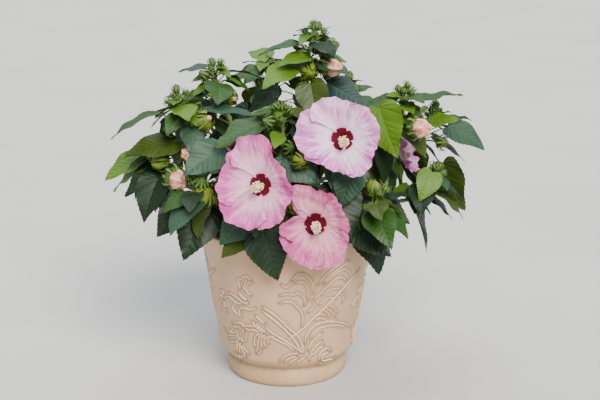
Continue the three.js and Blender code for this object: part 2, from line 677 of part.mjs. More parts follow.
// A tube through some points, with a radius at each
function tubeSolid(points, radii, sides, firstAxis = null) {
  const rings = points.map((point, k) => {
    const before = points[Math.max(0, k - 1)];
    const after = points[Math.min(points.length - 1, k + 1)];
    const axis = k === 0 && firstAxis ? firstAxis : after.clone().sub(before).normalize();
    return ringAt(point, axis, besideAxis(axis), radii[k], sides);
  });
  return loft(rings);
}

// A leaf in one body: a three-sided stalk that opens into a thin blade with a thick midrib
function leafSolid(leaf) {
  const half = (LEAF_THICKNESS * leaf.length) / 2;
  const below = leaf.normal.clone().negate();
  const rise = leaf.base.clone().sub(leaf.root).normalize();
  const bend = rise.clone().add(leaf.direction).normalize();
  const corners = [
    ...ringAt(leaf.root.clone().add(rise), rise, below, LEAF_STALK_RADIUS[0], 3),
    ...ringAt(leaf.base, bend, below, LEAF_STALK_RADIUS[1], 3),
    bladePoint(leaf, MIDRIB_AT, 0, half),
    bladePoint(leaf, MIDRIB_AT, 0, -half),
    bladePoint(leaf, 1, 0),
  ];
  for (const way of [1, -1]) {
    for (const [along, across] of BLADE_OUTLINE) corners.push(bladePoint(leaf, along, way * across));
  }
  const [bottom, topLeft, topRight, above, under, tip] = [3, 4, 5, 6, 7, 8];
  const [right, left] = [9, 12];
  const faces = [
    [0, 2, 1], [0, 1, 4], [0, 4, 3], [1, 2, 5], [1, 5, 4], [2, 0, 3], [2, 3, 5],
    [topLeft, topRight, above],
    [right, topRight, bottom], [topLeft, left, bottom],
    [topRight, right, above], [right, bottom, under],
    [left, topLeft, above], [bottom, left, under],
    [right + 2, tip, above], [tip, right + 2, under],
    [tip, left + 2, above], [left + 2, tip, under],
  ];
  for (const step of [0, 1]) {
    faces.push([right + step, right + step + 1, above], [right + step + 1, right + step, under]);
    faces.push([left + step + 1, left + step, above], [left + step, left + step + 1, under]);
  }
  return solid(corners, faces);
}

// A bud in one body with its stalk
function budSolid(bud) {
  const half = bud.radius * BUD_SLENDERNESS;
  const place = (share) => bud.centre.clone().addScaledVector(bud.direction, share * half);
  const ring = (centre, radius) =>
    ringAt(centre, bud.direction, besideAxis(bud.direction), radius, BUD_SIDES);
  const rings = BUD_RINGS.map(([share, width]) => ring(place(share), bud.radius * width));
  rings.unshift(ring(bud.root.clone().add(bud.direction), BUD_STALK_RADIUS));
  return loft(rings, place(1));
}

// A mass of foliage: the leafy top of a cane with its leaves and buds
function foliageSolid(shoot) {
  const leaves = shoot.leafList.map(leafSolid);
  const buds = shoot.budList.map(budSolid);
  return largest(wasm.Manifold.union([leaderSolid(shoot), ...leaves, ...buds]));
}

// The largest of a solid's separate bodies
function largest(joined) {
  const bodies = joined.decompose();
  return bodies.reduce((best, body) => (body.volume() > best.volume() ? body : best));
}

// The five petals as one thin dish
function petalSolid(bloom) {
  const rows = BLOOM_RINGS.length;
  const corners = [];
  for (const above of [0, -BLOOM_THICKNESS]) {
    for (const share of BLOOM_RINGS) {
      for (let k = 0; k < BLOOM_SEGMENTS; k += 1) {
        corners.push(bloomPoint(bloom, share, (k * 2 * Math.PI) / BLOOM_SEGMENTS, above));
      }
    }
    corners.push(bloomPoint(bloom, 0, 0, above));
  }
  const sheet = rows * BLOOM_SEGMENTS + 1;
  const faces = [];
  for (let k = 0; k < BLOOM_SEGMENTS; k += 1) {
    const next = (k + 1) % BLOOM_SEGMENTS;
    faces.push([next, k, sheet - 1], [sheet + k, sheet + next, 2 * sheet - 1]);
    for (let row = 0; row + 1 < rows; row += 1) {
      const [a, b] = [row * BLOOM_SEGMENTS + k, row * BLOOM_SEGMENTS + next];
      const [c, d] = [b + BLOOM_SEGMENTS, a + BLOOM_SEGMENTS];
      faces.push([a, b, c], [a, c, d]);
      faces.push([sheet + c, sheet + b, sheet + a], [sheet + d, sheet + c, sheet + a]);
    }
    const edge = (rows - 1) * BLOOM_SEGMENTS;
    const [a, b] = [edge + k, edge + next];
    faces.push([a, b, sheet + b], [a, sheet + b, sheet + a]);
  }
  return solid(corners, faces);
}

// A bloom: its petals, its column, and its calyx and stalk in one tube
function bloomSolid(bloom) {
  const tip = bloom.throat.clone().addScaledVector(bloom.facing, COLUMN_LENGTH);
  const column = tubeSolid([bloom.throat, tip], COLUMN_RADIUS, COLUMN_SIDES);
  const points = BLOOM_STALK_RINGS.map(([along]) => bloom.stalk.getPoint(along));
  const radii = BLOOM_STALK_RINGS.map(([, radius]) => radius);
  for (const [share, width] of CALYX_RINGS) {
    points.push(bloom.back.clone().addScaledVector(bloom.facing, share * CALYX_LENGTH));
    radii.push(width * CALYX_RADIUS);
  }
  const stalk = tubeSolid(points, radii, CALYX_SIDES, bloom.outward);
  return largest(wasm.Manifold.union([petalSolid(bloom), column, stalk]));
}

// The pot, soil and stem are turned on the Z axis
function turned(profile, segments) {
  const points = profile.map(([radius, height]) => new THREE.Vector2(radius, height));
  const geometry = new THREE.LatheGeometry(points, segments);
  geometry.rotateX(Math.PI / 2);
  return geometry;
}

// The pot's profile: up its outside, over the rim, down its inside and across its floor
const POT_OUTSIDE = [
  [0, 0],
  [FOOT_RADIUS - EDGE_ROUNDING, 0],
  [FOOT_RADIUS - EDGE_ROUNDING / 4, EDGE_ROUNDING / 2],
  [FOOT_RADIUS, EDGE_ROUNDING * 1.75],
  [FOOT_RADIUS, FOOT_HEIGHT - EDGE_ROUNDING * 1.5],
  [GROOVE_RADIUS, FOOT_HEIGHT],
  [GROOVE_RADIUS, FOOT_HEIGHT + GROOVE_HEIGHT],
  [POT_WAIST_RADIUS - EDGE_ROUNDING, FOOT_HEIGHT + GROOVE_HEIGHT + FLOOR_ROUNDING],
  [POT_WAIST_RADIUS, POT_WAIST_HEIGHT],
  [POT_RIM_RADIUS, POT_HEIGHT - EDGE_ROUNDING],
  [POT_RIM_RADIUS - EDGE_ROUNDING, POT_HEIGHT],
];
const POT_INSIDE = [
  [POT_RIM_RADIUS - POT_WALL, POT_HEIGHT - EDGE_ROUNDING],
  [POT_WAIST_RADIUS - POT_WALL, POT_WAIST_HEIGHT],
  [GROOVE_RADIUS - POT_WALL, POT_FLOOR + FLOOR_ROUNDING],
  [GROOVE_RADIUS - POT_WALL - FLOOR_ROUNDING, POT_FLOOR],
];

function potGeometry() {
  return turned([...POT_OUTSIDE, ...POT_INSIDE, [0, POT_FLOOR]], POT_SEGMENTS);
}

// The soil fills the pot, clear of it by the gap, with a level top that drops towards the wall
function soilGeometry() {
  const [top, waist, foot, floor] = POT_INSIDE.map(([radius, height]) => [radius - 2 * GAP, height + GAP]);
  const edgeHeight = SOIL_HEIGHT - SOIL_EDGE_DROP;
  const edgeRadius = mix([waist[0], top[0]], (edgeHeight - waist[1]) / (top[1] - waist[1]));
  return turned([
    [0, floor[1]],
    floor,
    foot,
    waist,
    [edgeRadius, edgeHeight],
    [STEM_BASE_RADIUS + SOIL_EDGE_DROP, SOIL_HEIGHT],
    [0, SOIL_HEIGHT],
  ], POT_SEGMENTS);
}

// The short stem flares at the soil and ends in a flat top that the canes stand on
function stemGeometry() {
  const foot = SOIL_HEIGHT + GAP;
  return turned([
    [0, foot],
    [STEM_BASE_RADIUS, foot],
    [mix([STEM_TOP_RADIUS, STEM_BASE_RADIUS], 1 / 3), foot + STEM_HEIGHT / 3],
    [STEM_TOP_RADIUS, foot + STEM_HEIGHT],
    [0, foot + STEM_HEIGHT],
  ], STEM_SEGMENTS);
}

// The geometry of a joined solid
function geometryOf(body) {
  const mesh = body.getMesh();
  const geometry = new THREE.BufferGeometry();
  geometry.setAttribute("position", new THREE.BufferAttribute(new Float32Array(mesh.vertProperties), 3));
  geometry.setIndex(new THREE.BufferAttribute(new Uint32Array(mesh.triVerts), 1));
  geometry.computeVertexNormals();
  return geometry;
}

const group = new THREE.Group();

function add(name, geometry, finish) {
  const mesh = new THREE.Mesh(geometry, new THREE.MeshStandardMaterial({ ...finish, metalness: 0 }));
  mesh.name = name;
  group.add(mesh);
}

const plant = growPlant();
const label = (index) => String(index + 1).padStart(2, "0");
add("pot", potGeometry(), COLOURS.pot);
add("soil", soilGeometry(), COLOURS.soil);
add("stem", stemGeometry(), COLOURS.stem);
plant.shoots.forEach((shoot, index) => {
  add(`bough_${label(index)}`, geometryOf(caneSolid(shoot)), COLOURS.cane);
  add(`foliage_${label(index)}`, geometryOf(foliageSolid(shoot)), COLOURS.leaf);
});
plant.blooms.forEach((bloom, index) => {
  add(`bloom_${index + 1}`, geometryOf(bloomSolid(bloom)), COLOURS.bloom);
});

export default group;
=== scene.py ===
import math
from collections import namedtuple

import bpy
import numpy as np
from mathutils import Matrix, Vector, noise


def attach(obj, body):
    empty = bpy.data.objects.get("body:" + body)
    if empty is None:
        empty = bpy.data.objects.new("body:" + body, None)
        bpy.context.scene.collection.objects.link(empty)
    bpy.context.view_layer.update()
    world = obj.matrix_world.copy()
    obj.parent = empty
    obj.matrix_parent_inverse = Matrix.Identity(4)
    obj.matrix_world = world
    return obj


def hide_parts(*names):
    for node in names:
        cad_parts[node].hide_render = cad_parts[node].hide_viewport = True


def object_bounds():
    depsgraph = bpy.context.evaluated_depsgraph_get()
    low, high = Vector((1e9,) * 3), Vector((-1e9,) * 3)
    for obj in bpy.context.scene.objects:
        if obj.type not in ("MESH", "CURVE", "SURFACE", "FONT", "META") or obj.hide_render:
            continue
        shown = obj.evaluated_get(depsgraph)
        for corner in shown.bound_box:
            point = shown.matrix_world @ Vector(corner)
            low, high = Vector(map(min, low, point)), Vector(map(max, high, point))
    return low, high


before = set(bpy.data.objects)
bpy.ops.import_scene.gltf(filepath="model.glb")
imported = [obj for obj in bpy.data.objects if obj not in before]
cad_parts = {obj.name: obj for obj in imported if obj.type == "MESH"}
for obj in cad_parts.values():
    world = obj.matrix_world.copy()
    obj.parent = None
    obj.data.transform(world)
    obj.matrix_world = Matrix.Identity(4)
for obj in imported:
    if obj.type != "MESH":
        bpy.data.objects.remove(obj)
cad_low, cad_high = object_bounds()

MM = 0.001
UP = np.array([0.0, 0.0, 1.0])

# The corners of the box round the part's solids
PART_LOW, PART_HIGH = (np.array([float(value) for value in corner]) / MM for corner in (cad_low, cad_high))

# Camera at the photo's view, with its focal length in pixels of the photo
CAMERA_PLACE = (28, -3090.5, 1319)
CAMERA_PITCH = 73.1
CAMERA_LENS = 90.2
CAMERA_SENSOR = 36
CAMERA_FOCUS = 1503

# Sizes of the source: the pot, its soil and the short stem
POT_HEIGHT = 330
POT_RIM_RADIUS = 188
POT_WAIST_RADIUS = 148
POT_WAIST_HEIGHT = 66
POT_WALL = 14
FOOT_RADIUS = 131
FOOT_HEIGHT = 40
GROOVE_RADIUS = 127
GAP = 0.3
SOIL_HEIGHT = 305
STEM_BASE_RADIUS = 70
STEM_TOP_RADIUS = 58
STEM_HEIGHT = 22

# Sizes of the source: canes
CANE_FOOT_RADIUS = 6.5
CANE_TIP_RADIUS = 2.4
CANE_RINGS = (0, 24, 48)
CANE_LEAN_AT_FOOT = 0.45
CANE_LEAN_AT_TIP = 0.28
CANE_BEND = 0.38
FOLIAGE_STARTS = 0.38
LEADER_STEPS = 3
LEADER_SIDES = 5

# Sizes of the source: leaves, as a pair for the lowest and the highest
LEAVES_FROM = 0.44
LEAVES_TO = 0.975
LEAF_CROWDING = 0.85
GOLDEN_ANGLE = 137.5
LEAF_LENGTH = (130, 60)
LEAF_LENGTH_CURVE = 1.4
LEAF_STALK = (88, 24)
LEAF_STALK_RISE = (18, 38)
LEAF_DROOP = (58, 2)
LEAF_FOLD = 0.1
LEAF_SAG = 0.14
LEAF_SPREAD = {"bearing": 14, "rise": 8, "stalk": 0.16, "length": 0.12, "droop": 12, "roll": 22, "fold": 0.16}

# Ways of setting a leaf, in turn: how far it is turned and drooped, and its size
LEAF_TRIES = (
    (0, 0, 1), (22, 0, 1), (-22, 0, 1), (0, 22, 0.9), (40, 12, 0.9), (-40, 12, 0.9), (0, -24, 0.85),
    (65, 0, 0.85), (-65, 0, 0.85), (90, 20, 0.8), (-90, 20, 0.8), (0, 0, 0.62), (130, 0, 0.7), (-130, 0, 0.7),
)

# Half the width of the source's blade at shares of its length
BLADE_OUTLINE = ((-0.05, 0.2), (0.28, 0.38), (0.62, 0.245), (1, 0))

# Sizes of the source: buds in the angles of leaves
AXIL_STALK = (38, 60)
AXIL_RADIUS = (8.5, 11.5)
AXIL_RANGE = (0.5, 0.9)
AXIL_RISE = 52
AXIL_TURN = 20
BUD_SEED_STEP = 500

# Sizes of the source: the room that each thing keeps
SAMPLE_STEP = 12
BLADE_ROOM = 7.5
TWIG_ROOM = 4
OWN_ROOM = 0.66
NAMED_OWN_ROOM = 0.3
POT_ROOM = 5
CELL = 30
BLOOM_VIEW = 0.93
BOUGH_SAMPLES = 20
LEADER_SAMPLES = 30
BLOOM_STALK_CLEAR = 0.05
BLOOM_STALK_SAMPLES = 8
BLOOM_SAMPLE_RINGS = (0.2, 0.4, 0.6, 0.8, 1)
BLOOM_SAMPLES = 44

# Buds round the tip of a cane: the source's own, and a crowd of smaller ones in their bractlets
Cluster = namedtuple("Cluster", "stalk radius lean step turn kind own_room slack")
CLUSTER = Cluster((12, 30), (5.5, 8), (10, 62), 0.012, 0, "bud", OWN_ROOM, math.inf)
TIP_CLUSTER = Cluster((14, 31), (5.4, 7.8), (4, 80), 0.005, 60, "caged", 0.34, 22)

# Sizes of the source: blooms
BLOOM_DEPTH = 30
PETALS = 5
BLOOM_LOBES = 0.05
BLOOM_CURVE = 0.75
COLUMN_LENGTH = 40
CALYX_RADIUS = 13
CALYX_LENGTH = 28
BLOOM_STALK_RADIUS = 2.6
BLOOM_STALK_REACH = 0.45
TO_VIEWER = -90

# Shoots: the ring of the stem on which each stands, its tip, leaves and buds, first bearing and seed
Row = namedtuple("Row", "key ring tip leaves buds bearing seed")
SHOOTS = (
    Row("top", 0, (57, 0, 742), 12, 6, 0, 474),
    Row("rearTop", 1, (-46, 150, 652), 12, 4, 15, 374),
    Row("centre", 1, (-8, -120, 600), 12, 5, 75, 166),
    Row("behind", 1, (105, -95, 560), 10, 2, 270, 440),
    Row("upperLeft", 1, (-155, 50, 652), 12, 4, 90, 396),
    Row("rearRight", 1, (130, 180, 590), 11, 3, 315, 144),
    Row("left", 2, (-225, -60, 614), 12, 6, 0, 156),
    Row("upperRight", 2, (242, -30, 612), 12, 6, 240, 181),
    Row("farRight", 2, (313, 50, 552), 12, 6, 120, 128),
    Row("frontLeft", 2, (-75, -150, 500), 10, 1, 45, 106),
    Row("front", 2, (40, -140, 440), 9, 1, 330, 486),
    Row("frontRight", 2, (185, -165, 430), 10, 1, 285, 55),
    Row("lowLeft", 2, (-190, -150, 450), 10, 1, 255, 127),
    Row("farLeft", 2, (-290, -60, 500), 11, 3, 135, 410),
    Row("lowRight", 2, (310, -70, 450), 11, 3, 225, 317),
    Row("rearLeft", 2, (-190, 190, 560), 10, 2, 45, 100),
    Row("rear", 2, (-30, 260, 500), 10, 2, 225, 404),
    Row("rearLowRight", 2, (230, 220, 480), 9, 2, 90, 420),
)

# Blooms: shoot, place on it, middle, turn from the viewer, tilt, width and height, and space kept free
# in front
BloomRow = namedtuple("BloomRow", "on at centre turn tilt size view")
BLOOMS = (
    BloomRow("behind", 0.86, (102, -190, 567), -8, 14, (176, 164), 400),
    BloomRow("frontLeft", 0.9, (-63, -245, 492), -22, 12, (176, 196), 400),
    BloomRow("front", 0.86, (56, -222, 394), 6, 8, (152, 176), 400),
    BloomRow("upperRight", 0.72, (262, -30, 492), 78, 16, (112, 112), 30),
    BloomRow("rearRight", 0.66, (135, 262, 420), 165, 16, (176, 170), 200),
    BloomRow("rearLeft", 0.68, (-118, 285, 432), 195, 14, (170, 170), 200),
)

# Leaves that stand out at the front: shoot, place on it, two ends of the blade, its face, its roll, and
# its tone
NAMED_LEAVES = (
    ("frontLeft", 0.62, (-49, -195, 376), (-17, -206, 268), 20, 0, "dark"),
    ("frontLeft", 0.5, (-79, -185, 407), (-137, -195, 342), 30, -15, "slate"),
    ("frontLeft", 0.75, (-74, -172, 362), (-134, -205, 318), 50, 10, "olive"),
    ("front", 0.7, (-4, -150, 508), (73, -168, 458), 45, 0, "slate"),
    ("behind", 0.62, (134, -145, 498), (111, -172, 414), 25, 0, "slate"),
    ("rearTop", 0.94, (-40, 145, 662), (-88, 190, 668), 60, 0, "lime"),
    ("left", 0.8, (-269, -70, 589), (-361, -110, 546), 100, 0, "mid"),
    ("left", 0.76, (-168, -60, 592), (-60, -66, 582), 92, 0, "slate"),
    ("top", 0.74, (84, -20, 640), (160, -65, 604), 55, 0, "blue"),
    ("upperRight", 0.66, (190, -62, 600), (226, -120, 506), 25, 20, "lime"),
    ("farRight", 0.82, (345, 30, 534), (424, 0, 494), 65, 0, "slate"),
    ("upperRight", 0.93, (282, -10, 601), (373, 20, 613), 95, 0, "mid"),
    ("lowRight", 0.94, (331, -20, 469), (375, -52, 369), 0, 35, "olive"),
    ("frontRight", 0.8, (156, -112, 420), (256, -150, 378), 45, 0, "dark"),
    ("frontRight", 0.6, (151, -165, 372), (216, -212, 330), 35, 0, "dark"),
    ("farLeft", 0.85, (-305, -40, 490), (-384, -62, 440), 75, 0, "lime"),
    ("farLeft", 0.6, (-247, -80, 470), (-336, -110, 426), 55, 0, "dark"),
    ("lowLeft", 0.6, (-168, -130, 409), (-211, -190, 308), 15, 0, "dark"),
    ("lowLeft", 0.8, (-212, -120, 412), (-268, -150, 345), 25, 0, "dark"),
    ("centre", 0.72, (-51, -135, 583), (-146, -172, 540), 80, 0, "mid"),
    ("frontLeft", 0.8, (-134, -140, 533), (-208, -188, 488), 40, 0, "slate"),
)

# Buds that stand out: shoot, place on it, middle, radius and kind. An opening one shows its rolled
# petals, a pod is the green fruit left by a bloom, and a spent one still holds its withered petals
NAMED_BUDS = (
    ("top", 0.86, (86, -32, 678), 17, "opening"),
    ("top", 0.93, (95, -10, 718), 12, "bud"),
    ("top", 0.9, (32, -12, 704), 12, "bud"),
    ("top", 0.84, (48, -36, 668), 15, "pod"),
    ("farRight", 0.86, (278, 10, 540), 20, "opening"),
    ("farRight", 0.84, (330, 0, 508), 12, "bud"),
    ("farLeft", 0.88, (-229, -125, 465), 19, "opening"),
    ("left", 0.82, (-170, -85, 576), 17, "spent"),
    ("left", 0.66, (-196, -105, 513), 14, "opening"),
    ("left", 0.62, (-262, -85, 492), 16, "pod"),
    ("left", 0.84, (-242, -88, 560), 11, "bud"),
    ("front", 0.84, (16, -176, 424), 16, "pod"),
    ("frontRight", 0.86, (179, -150, 452), 13, "pod"),
    ("lowLeft", 0.86, (-163, -165, 441), 18, "pod"),
    ("centre", 0.9, (-38, -150, 590), 11, "bud"),
    ("centre", 0.72, (10, -150, 536), 13, "bud"),
    ("upperLeft", 0.93, (-176, 30, 648), 10, "bud"),
    ("upperLeft", 0.86, (-118, 10, 602), 13, "spent"),
    ("upperRight", 0.9, (226, -62, 592), 11, "bud"),
)


# Small vector tools
def mix(pair, share):
    return pair[0] + (pair[1] - pair[0]) * share


def unit(value):
    return value / math.sqrt(value @ value)


def level(bearing):
    """A level direction on a compass bearing, measured from +X towards +Y."""
    return np.array([math.cos(math.radians(bearing)), math.sin(math.radians(bearing)), 0.0])


def raised(direction, degrees):
    """A level direction raised by some degrees."""
    return direction * math.cos(math.radians(degrees)) + UP * math.sin(math.radians(degrees))


def square_to(value, axis):
    """The part of a vector that is square to an axis, at length one."""
    return unit(value - axis * (value @ axis))


def turned(value, axis, degrees):
    """A vector turned about an axis."""
    angle = math.radians(degrees)
    aside = np.cross(axis, value)
    return value * math.cos(angle) + aside * math.sin(angle) + axis * (axis @ value) * (1 - math.cos(angle))


# Seeded numbers, each made from the one before: a seed's factor, the factor of a step, and a prime
SEED_FACTOR = 7919
DRAW_FACTOR = 16807
DRAW_PRIME = 2147483647


def seeded(seed):
    """Seeded numbers from 0 to 1."""
    state = (seed * SEED_FACTOR) % DRAW_PRIME

    def draw():
        nonlocal state
        state = (state * DRAW_FACTOR) % DRAW_PRIME
        return state / DRAW_PRIME

    return draw


def ramped(pair, share):
    """A mix of two values, kept from 0 to 1."""
    return np.clip(mix(pair, share), 0, 1)


def waves(rows, around, along=1, phase=0):
    """A sum of waves, from rows of height, waves round, waves along and share of the phase."""
    return sum(
        tall * np.sin(turns * around + steps * along + share * phase) for tall, turns, steps, share in rows
    )


def even_angles(count):
    """Angles that lie evenly round a circle."""
    return np.arange(count) * 2 * math.pi / count


def lengths_along(line):
    """How far along a line each of its points lies."""
    return np.concatenate([[0], np.cumsum(np.linalg.norm(np.diff(line, axis=0), axis=1))])


class Bezier:
    """A cubic curve from its four control points."""

    def __init__(self, *controls):
        self.controls = [np.asarray(control, float) for control in controls]

    def point(self, along):
        rest = 1 - along
        weights = (rest**3, 3 * rest * rest * along, 3 * rest * along * along, along**3)
        return sum(weight * control for weight, control in zip(weights, self.controls))

    def tangent(self, along, step=0.0001):
        return unit(self.point(min(1, along + step)) - self.point(max(0, along - step)))

    def length(self, steps=200):
        return lengths_along([self.point(step / steps) for step in range(steps + 1)])[-1]


# Growth: the shoots and what they carry, by the rule of the source
class Shoot:
    """A cane, its place and the leaves and buds that it carries."""

    def __init__(self, row):
        self.row = row
        self.key = row.key
        self.tip = np.array(row.tip, float)
        self.azimuth = math.atan2(self.tip[1], self.tip[0])
        self.leaves = []
        self.buds = []

    def stand(self, foot):
        """Sets the cane's foot and its line."""
        outward = unit((self.tip - foot) * (1, 1, 0))
        bend = CANE_BEND * math.dist(self.tip, foot)
        start = unit(UP + outward * CANE_LEAN_AT_FOOT)
        end = unit(UP + outward * CANE_LEAN_AT_TIP)
        self.curve = Bezier(foot, foot + start * bend, self.tip - end * bend, self.tip)
        across = np.cross(UP, self.tip - foot)
        self.across = unit(across) if across @ across > 1 else np.array([0.0, 1.0, 0.0])


Leaf = namedtuple("Leaf", "root base direction normal side length fold at tone")
Bud = namedtuple("Bud", "root centre direction radius kind")
Samples = namedtuple("Samples", "points rooms twigs")


def make_shoots():
    shoots = [Shoot(row) for row in SHOOTS]
    foot_height = SOIL_HEIGHT + GAP + STEM_HEIGHT + GAP
    for ring, radius in enumerate(CANE_RINGS):
        members = [shoot for shoot in shoots if shoot.row.ring == ring]
        members.sort(key=lambda shoot: shoot.azimuth)
        for place, shoot in enumerate(members):
            angle = members[0].azimuth + place * 2 * math.pi / len(members)
            shoot.stand(np.array([radius * math.cos(angle), radius * math.sin(angle), foot_height]))
    return shoots


def cane_radius(along):
    return mix((CANE_FOOT_RADIUS, CANE_TIP_RADIUS), along)


def pot_radius(height):
    """Outer radius of the pot at a height or at several."""
    share = np.maximum(0, (height - POT_WAIST_HEIGHT) / (POT_HEIGHT - POT_WAIST_HEIGHT))
    return mix((POT_WAIST_RADIUS, POT_RIM_RADIUS), share)


class Space:
    """Space already taken, as sample points that each keep some room round them."""

    def __init__(self, blooms):
        self.blooms = blooms
        self.points = np.zeros((0, 3))
        self.rooms = np.zeros(0)
        self.twigs = np.zeros(0, bool)
        self.owners = np.zeros(0, int)
        self.names = {}

    def number(self, owner):
        return self.names.setdefault(owner, len(self.names))

    def take(self, samples, owner):
        self.points = np.concatenate([self.points, samples.points])
        self.rooms = np.concatenate([self.rooms, samples.rooms])
        self.twigs = np.concatenate([self.twigs, samples.twigs])
        self.owners = np.concatenate([self.owners, np.full(len(samples.points), self.number(owner))])

    def fits(self, samples, owner, own_room):
        taken = self.in_pot(samples) or self.hides_bloom(samples)
        return not (taken or self.too_near(samples, owner, own_room))

    def in_pot(self, samples):
        heights = samples.points[:, 2]
        reach = pot_radius(heights) + POT_ROOM + samples.rooms / 2
        within = np.hypot(samples.points[:, 0], samples.points[:, 1]) < reach
        return bool(np.any(within & (heights < POT_HEIGHT + POT_ROOM)))

    def hides_bloom(self, samples):
        for bloom in self.blooms:
            offset = samples.points - bloom.centre
            ahead = offset @ bloom.facing
            aside = np.linalg.norm(offset - np.outer(ahead, bloom.facing), axis=1)
            within = (ahead > -BLOOM_DEPTH / 2) & (ahead < bloom.row.view)
            if np.any(within & (aside < bloom.radius * BLOOM_VIEW)):
                return True
        return False

    def too_near(self, samples, owner, own_room):
        low = samples.points.min(0) - 2 * CELL
        high = samples.points.max(0) + 2 * CELL
        near = np.all((self.points > low) & (self.points < high), axis=1)
        others = self.points[near]
        cells = np.floor(samples.points / CELL)[:, None] - np.floor(others / CELL)[None]
        beside = np.abs(cells).max(2) <= 1
        own = self.owners[near] == self.number(owner)
        ignored = own[None] & (self.twigs[near][None] | samples.twigs[:, None])
        least = samples.rooms[:, None] + self.rooms[near][None]
        least = least * np.where(own[None], own_room, 1)
        apart = ((samples.points[:, None] - others[None]) ** 2).sum(2)
        return bool(np.any(beside & ~ignored & (apart < least * least)))


def samples_at(points, room, twigs=True):
    """Samples that keep the same room. Those of a twig may touch anything on their own shoot."""
    return Samples(points, np.full(len(points), float(room)), np.full(len(points), twigs))


def line_samples(start, end, room=TWIG_ROOM):
    count = max(1, math.ceil(math.dist(start, end) / SAMPLE_STEP))
    return samples_at(start + (end - start) * (np.arange(count + 1) / count)[:, None], room)


def curve_samples(curve, start, end, count):
    points = [curve.point(mix((start, end), step / count)) for step in range(count + 1)]
    return samples_at(np.array(points), TWIG_ROOM)


def joined_samples(*several):
    return Samples(*(np.concatenate(column) for column in zip(*several)))


def stalk_samples(start, end):
    """Samples of a stalk without its root, which is on the cane."""
    return Samples(*(column[1:] for column in line_samples(start, end)))


def blade_point(leaf, along, across, above=0.0):
    """Points on a leaf's blade, at shares of its length along and across it."""
    along, across = np.asarray(along, float), np.asarray(across, float)
    lift = above + (leaf.fold * np.abs(across) - LEAF_SAG * along * along) * leaf.length
    return (
        leaf.base
        + along[..., None] * leaf.length * leaf.direction
        + across[..., None] * leaf.length * leaf.side
        + lift[..., None] * leaf.normal
    )


def leaf_samples(leaf):
    rows = math.ceil(leaf.length / SAMPLE_STEP)
    places = []
    for row in range(rows + 1):
        along = row / rows
        half = float(np.interp(along, *zip(*BLADE_OUTLINE)))
        columns = math.ceil(half * leaf.length / SAMPLE_STEP)
        for column in range(-columns, columns + 1):
            places.append((along, half * column / columns if columns else 0.0))
    blade = samples_at(blade_point(leaf, *np.array(places).T), BLADE_ROOM, False)
    return joined_samples(stalk_samples(leaf.root, leaf.base), blade)


def make_leaf(shoot, at, form, tone="mid"):
    """A leaf from where its stalk leaves the cane, with its blade drooping from the stalk's end."""
    outward = level(form["bearing"])
    root = shoot.curve.point(at)
    base = root + raised(outward, form["rise"]) * form["stalk"]
    direction = raised(outward, -form["droop"])
    upright = raised(outward, 90 - form["droop"])
    side = np.cross(direction, upright)
    normal = turned(upright, direction, form["roll"])
    side = turned(side, direction, form["roll"])
    return Leaf(root, base, direction, normal, side, form["length"], form["fold"], at, tone)


def make_named_leaf(shoot, at, base, tip, face, roll, tone):
    """A leaf given by the two ends of its blade."""
    length = math.dist(base, tip)
    line = unit(tip - base)
    normal = turned(square_to(raised(level(TO_VIEWER), face), line), line, roll)
    direction = unit(tip - base + normal * LEAF_SAG * length)
    side = np.cross(line, normal)
    return Leaf(shoot.curve.point(at), base, direction, normal, side, length, LEAF_FOLD, at, tone)


def leaf_place(share):
    """Where on its cane a leaf sits: the leaves crowd towards the tip."""
    return mix((LEAVES_FROM, LEAVES_TO), share**LEAF_CROWDING)


def settle(space, shoot, samples, kept, item, own_room=OWN_ROOM, slack=math.inf):
    """Puts a leaf or bud on its shoot if it has room and passes the box of the part by the slack at most."""
    within = np.all(samples.points > PART_LOW - slack) and np.all(samples.points < PART_HIGH + slack)
    if not (within and space.fits(samples, shoot.key, own_room)):
        return False
    space.take(samples, shoot.key)
    kept.append(item)
    return True


def bud_samples(bud):
    middle = samples_at(bud.centre[None], bud.radius + TWIG_ROOM, False)
    return joined_samples(stalk_samples(bud.root, bud.centre), middle)


def make_bud(root, direction, stalk, radius, kind="bud"):
    return Bud(root, root + direction * stalk, direction, radius, kind)


def grow_listed(shoot, space, leaves, buds, depths=(0,), room=1):
    """Sets the leaves and buds listed for a shoot, each at the first depth at which it has room."""

    def settles(samples, kept, item):
        return settle(space, shoot, samples._replace(rooms=samples.rooms * room), kept, item, NAMED_OWN_ROOM)

    for on, at, base, tip, face, roll, tone in leaves:
        for depth in depths if on == shoot.key else ():
            ends = (np.add(end, (0.0, depth, 0.0)) for end in (base, tip))
            leaf = make_named_leaf(shoot, at, *ends, face, roll, tone)
            if settles(leaf_samples(leaf), shoot.leaves, leaf):
                break
    for on, at, centre, radius, kind in buds:
        for depth in depths if on == shoot.key else ():
            root = shoot.curve.point(at)
            stalk = np.add(centre, (0.0, depth, 0.0)) - root
            bud = make_bud(root, unit(stalk), math.sqrt(stalk @ stalk), radius, kind)
            if settles(bud_samples(bud), shoot.buds, bud):
                break


def grow_named(shoot, space):
    grow_listed(shoot, space, NAMED_LEAVES, NAMED_BUDS)


def grow_cluster(shoot, space, cluster, draw, count, steps):
    """Buds round a cane's tip, each leaning farther outwards than the one above it."""
    top = shoot.curve.tangent(1)
    for number in range(count):
        lean = math.radians(mix(cluster.lean, number / steps))
        aside = square_to(level(shoot.row.bearing + cluster.turn + number * GOLDEN_ANGLE), top)
        direction = top * math.cos(lean) + aside * math.sin(lean)
        root = shoot.curve.point(1 - cluster.step * number)
        bud = make_bud(root, direction, mix(cluster.stalk, draw()), mix(cluster.radius, draw()), cluster.kind)
        settle(space, shoot, bud_samples(bud), shoot.buds, bud, cluster.own_room, cluster.slack)


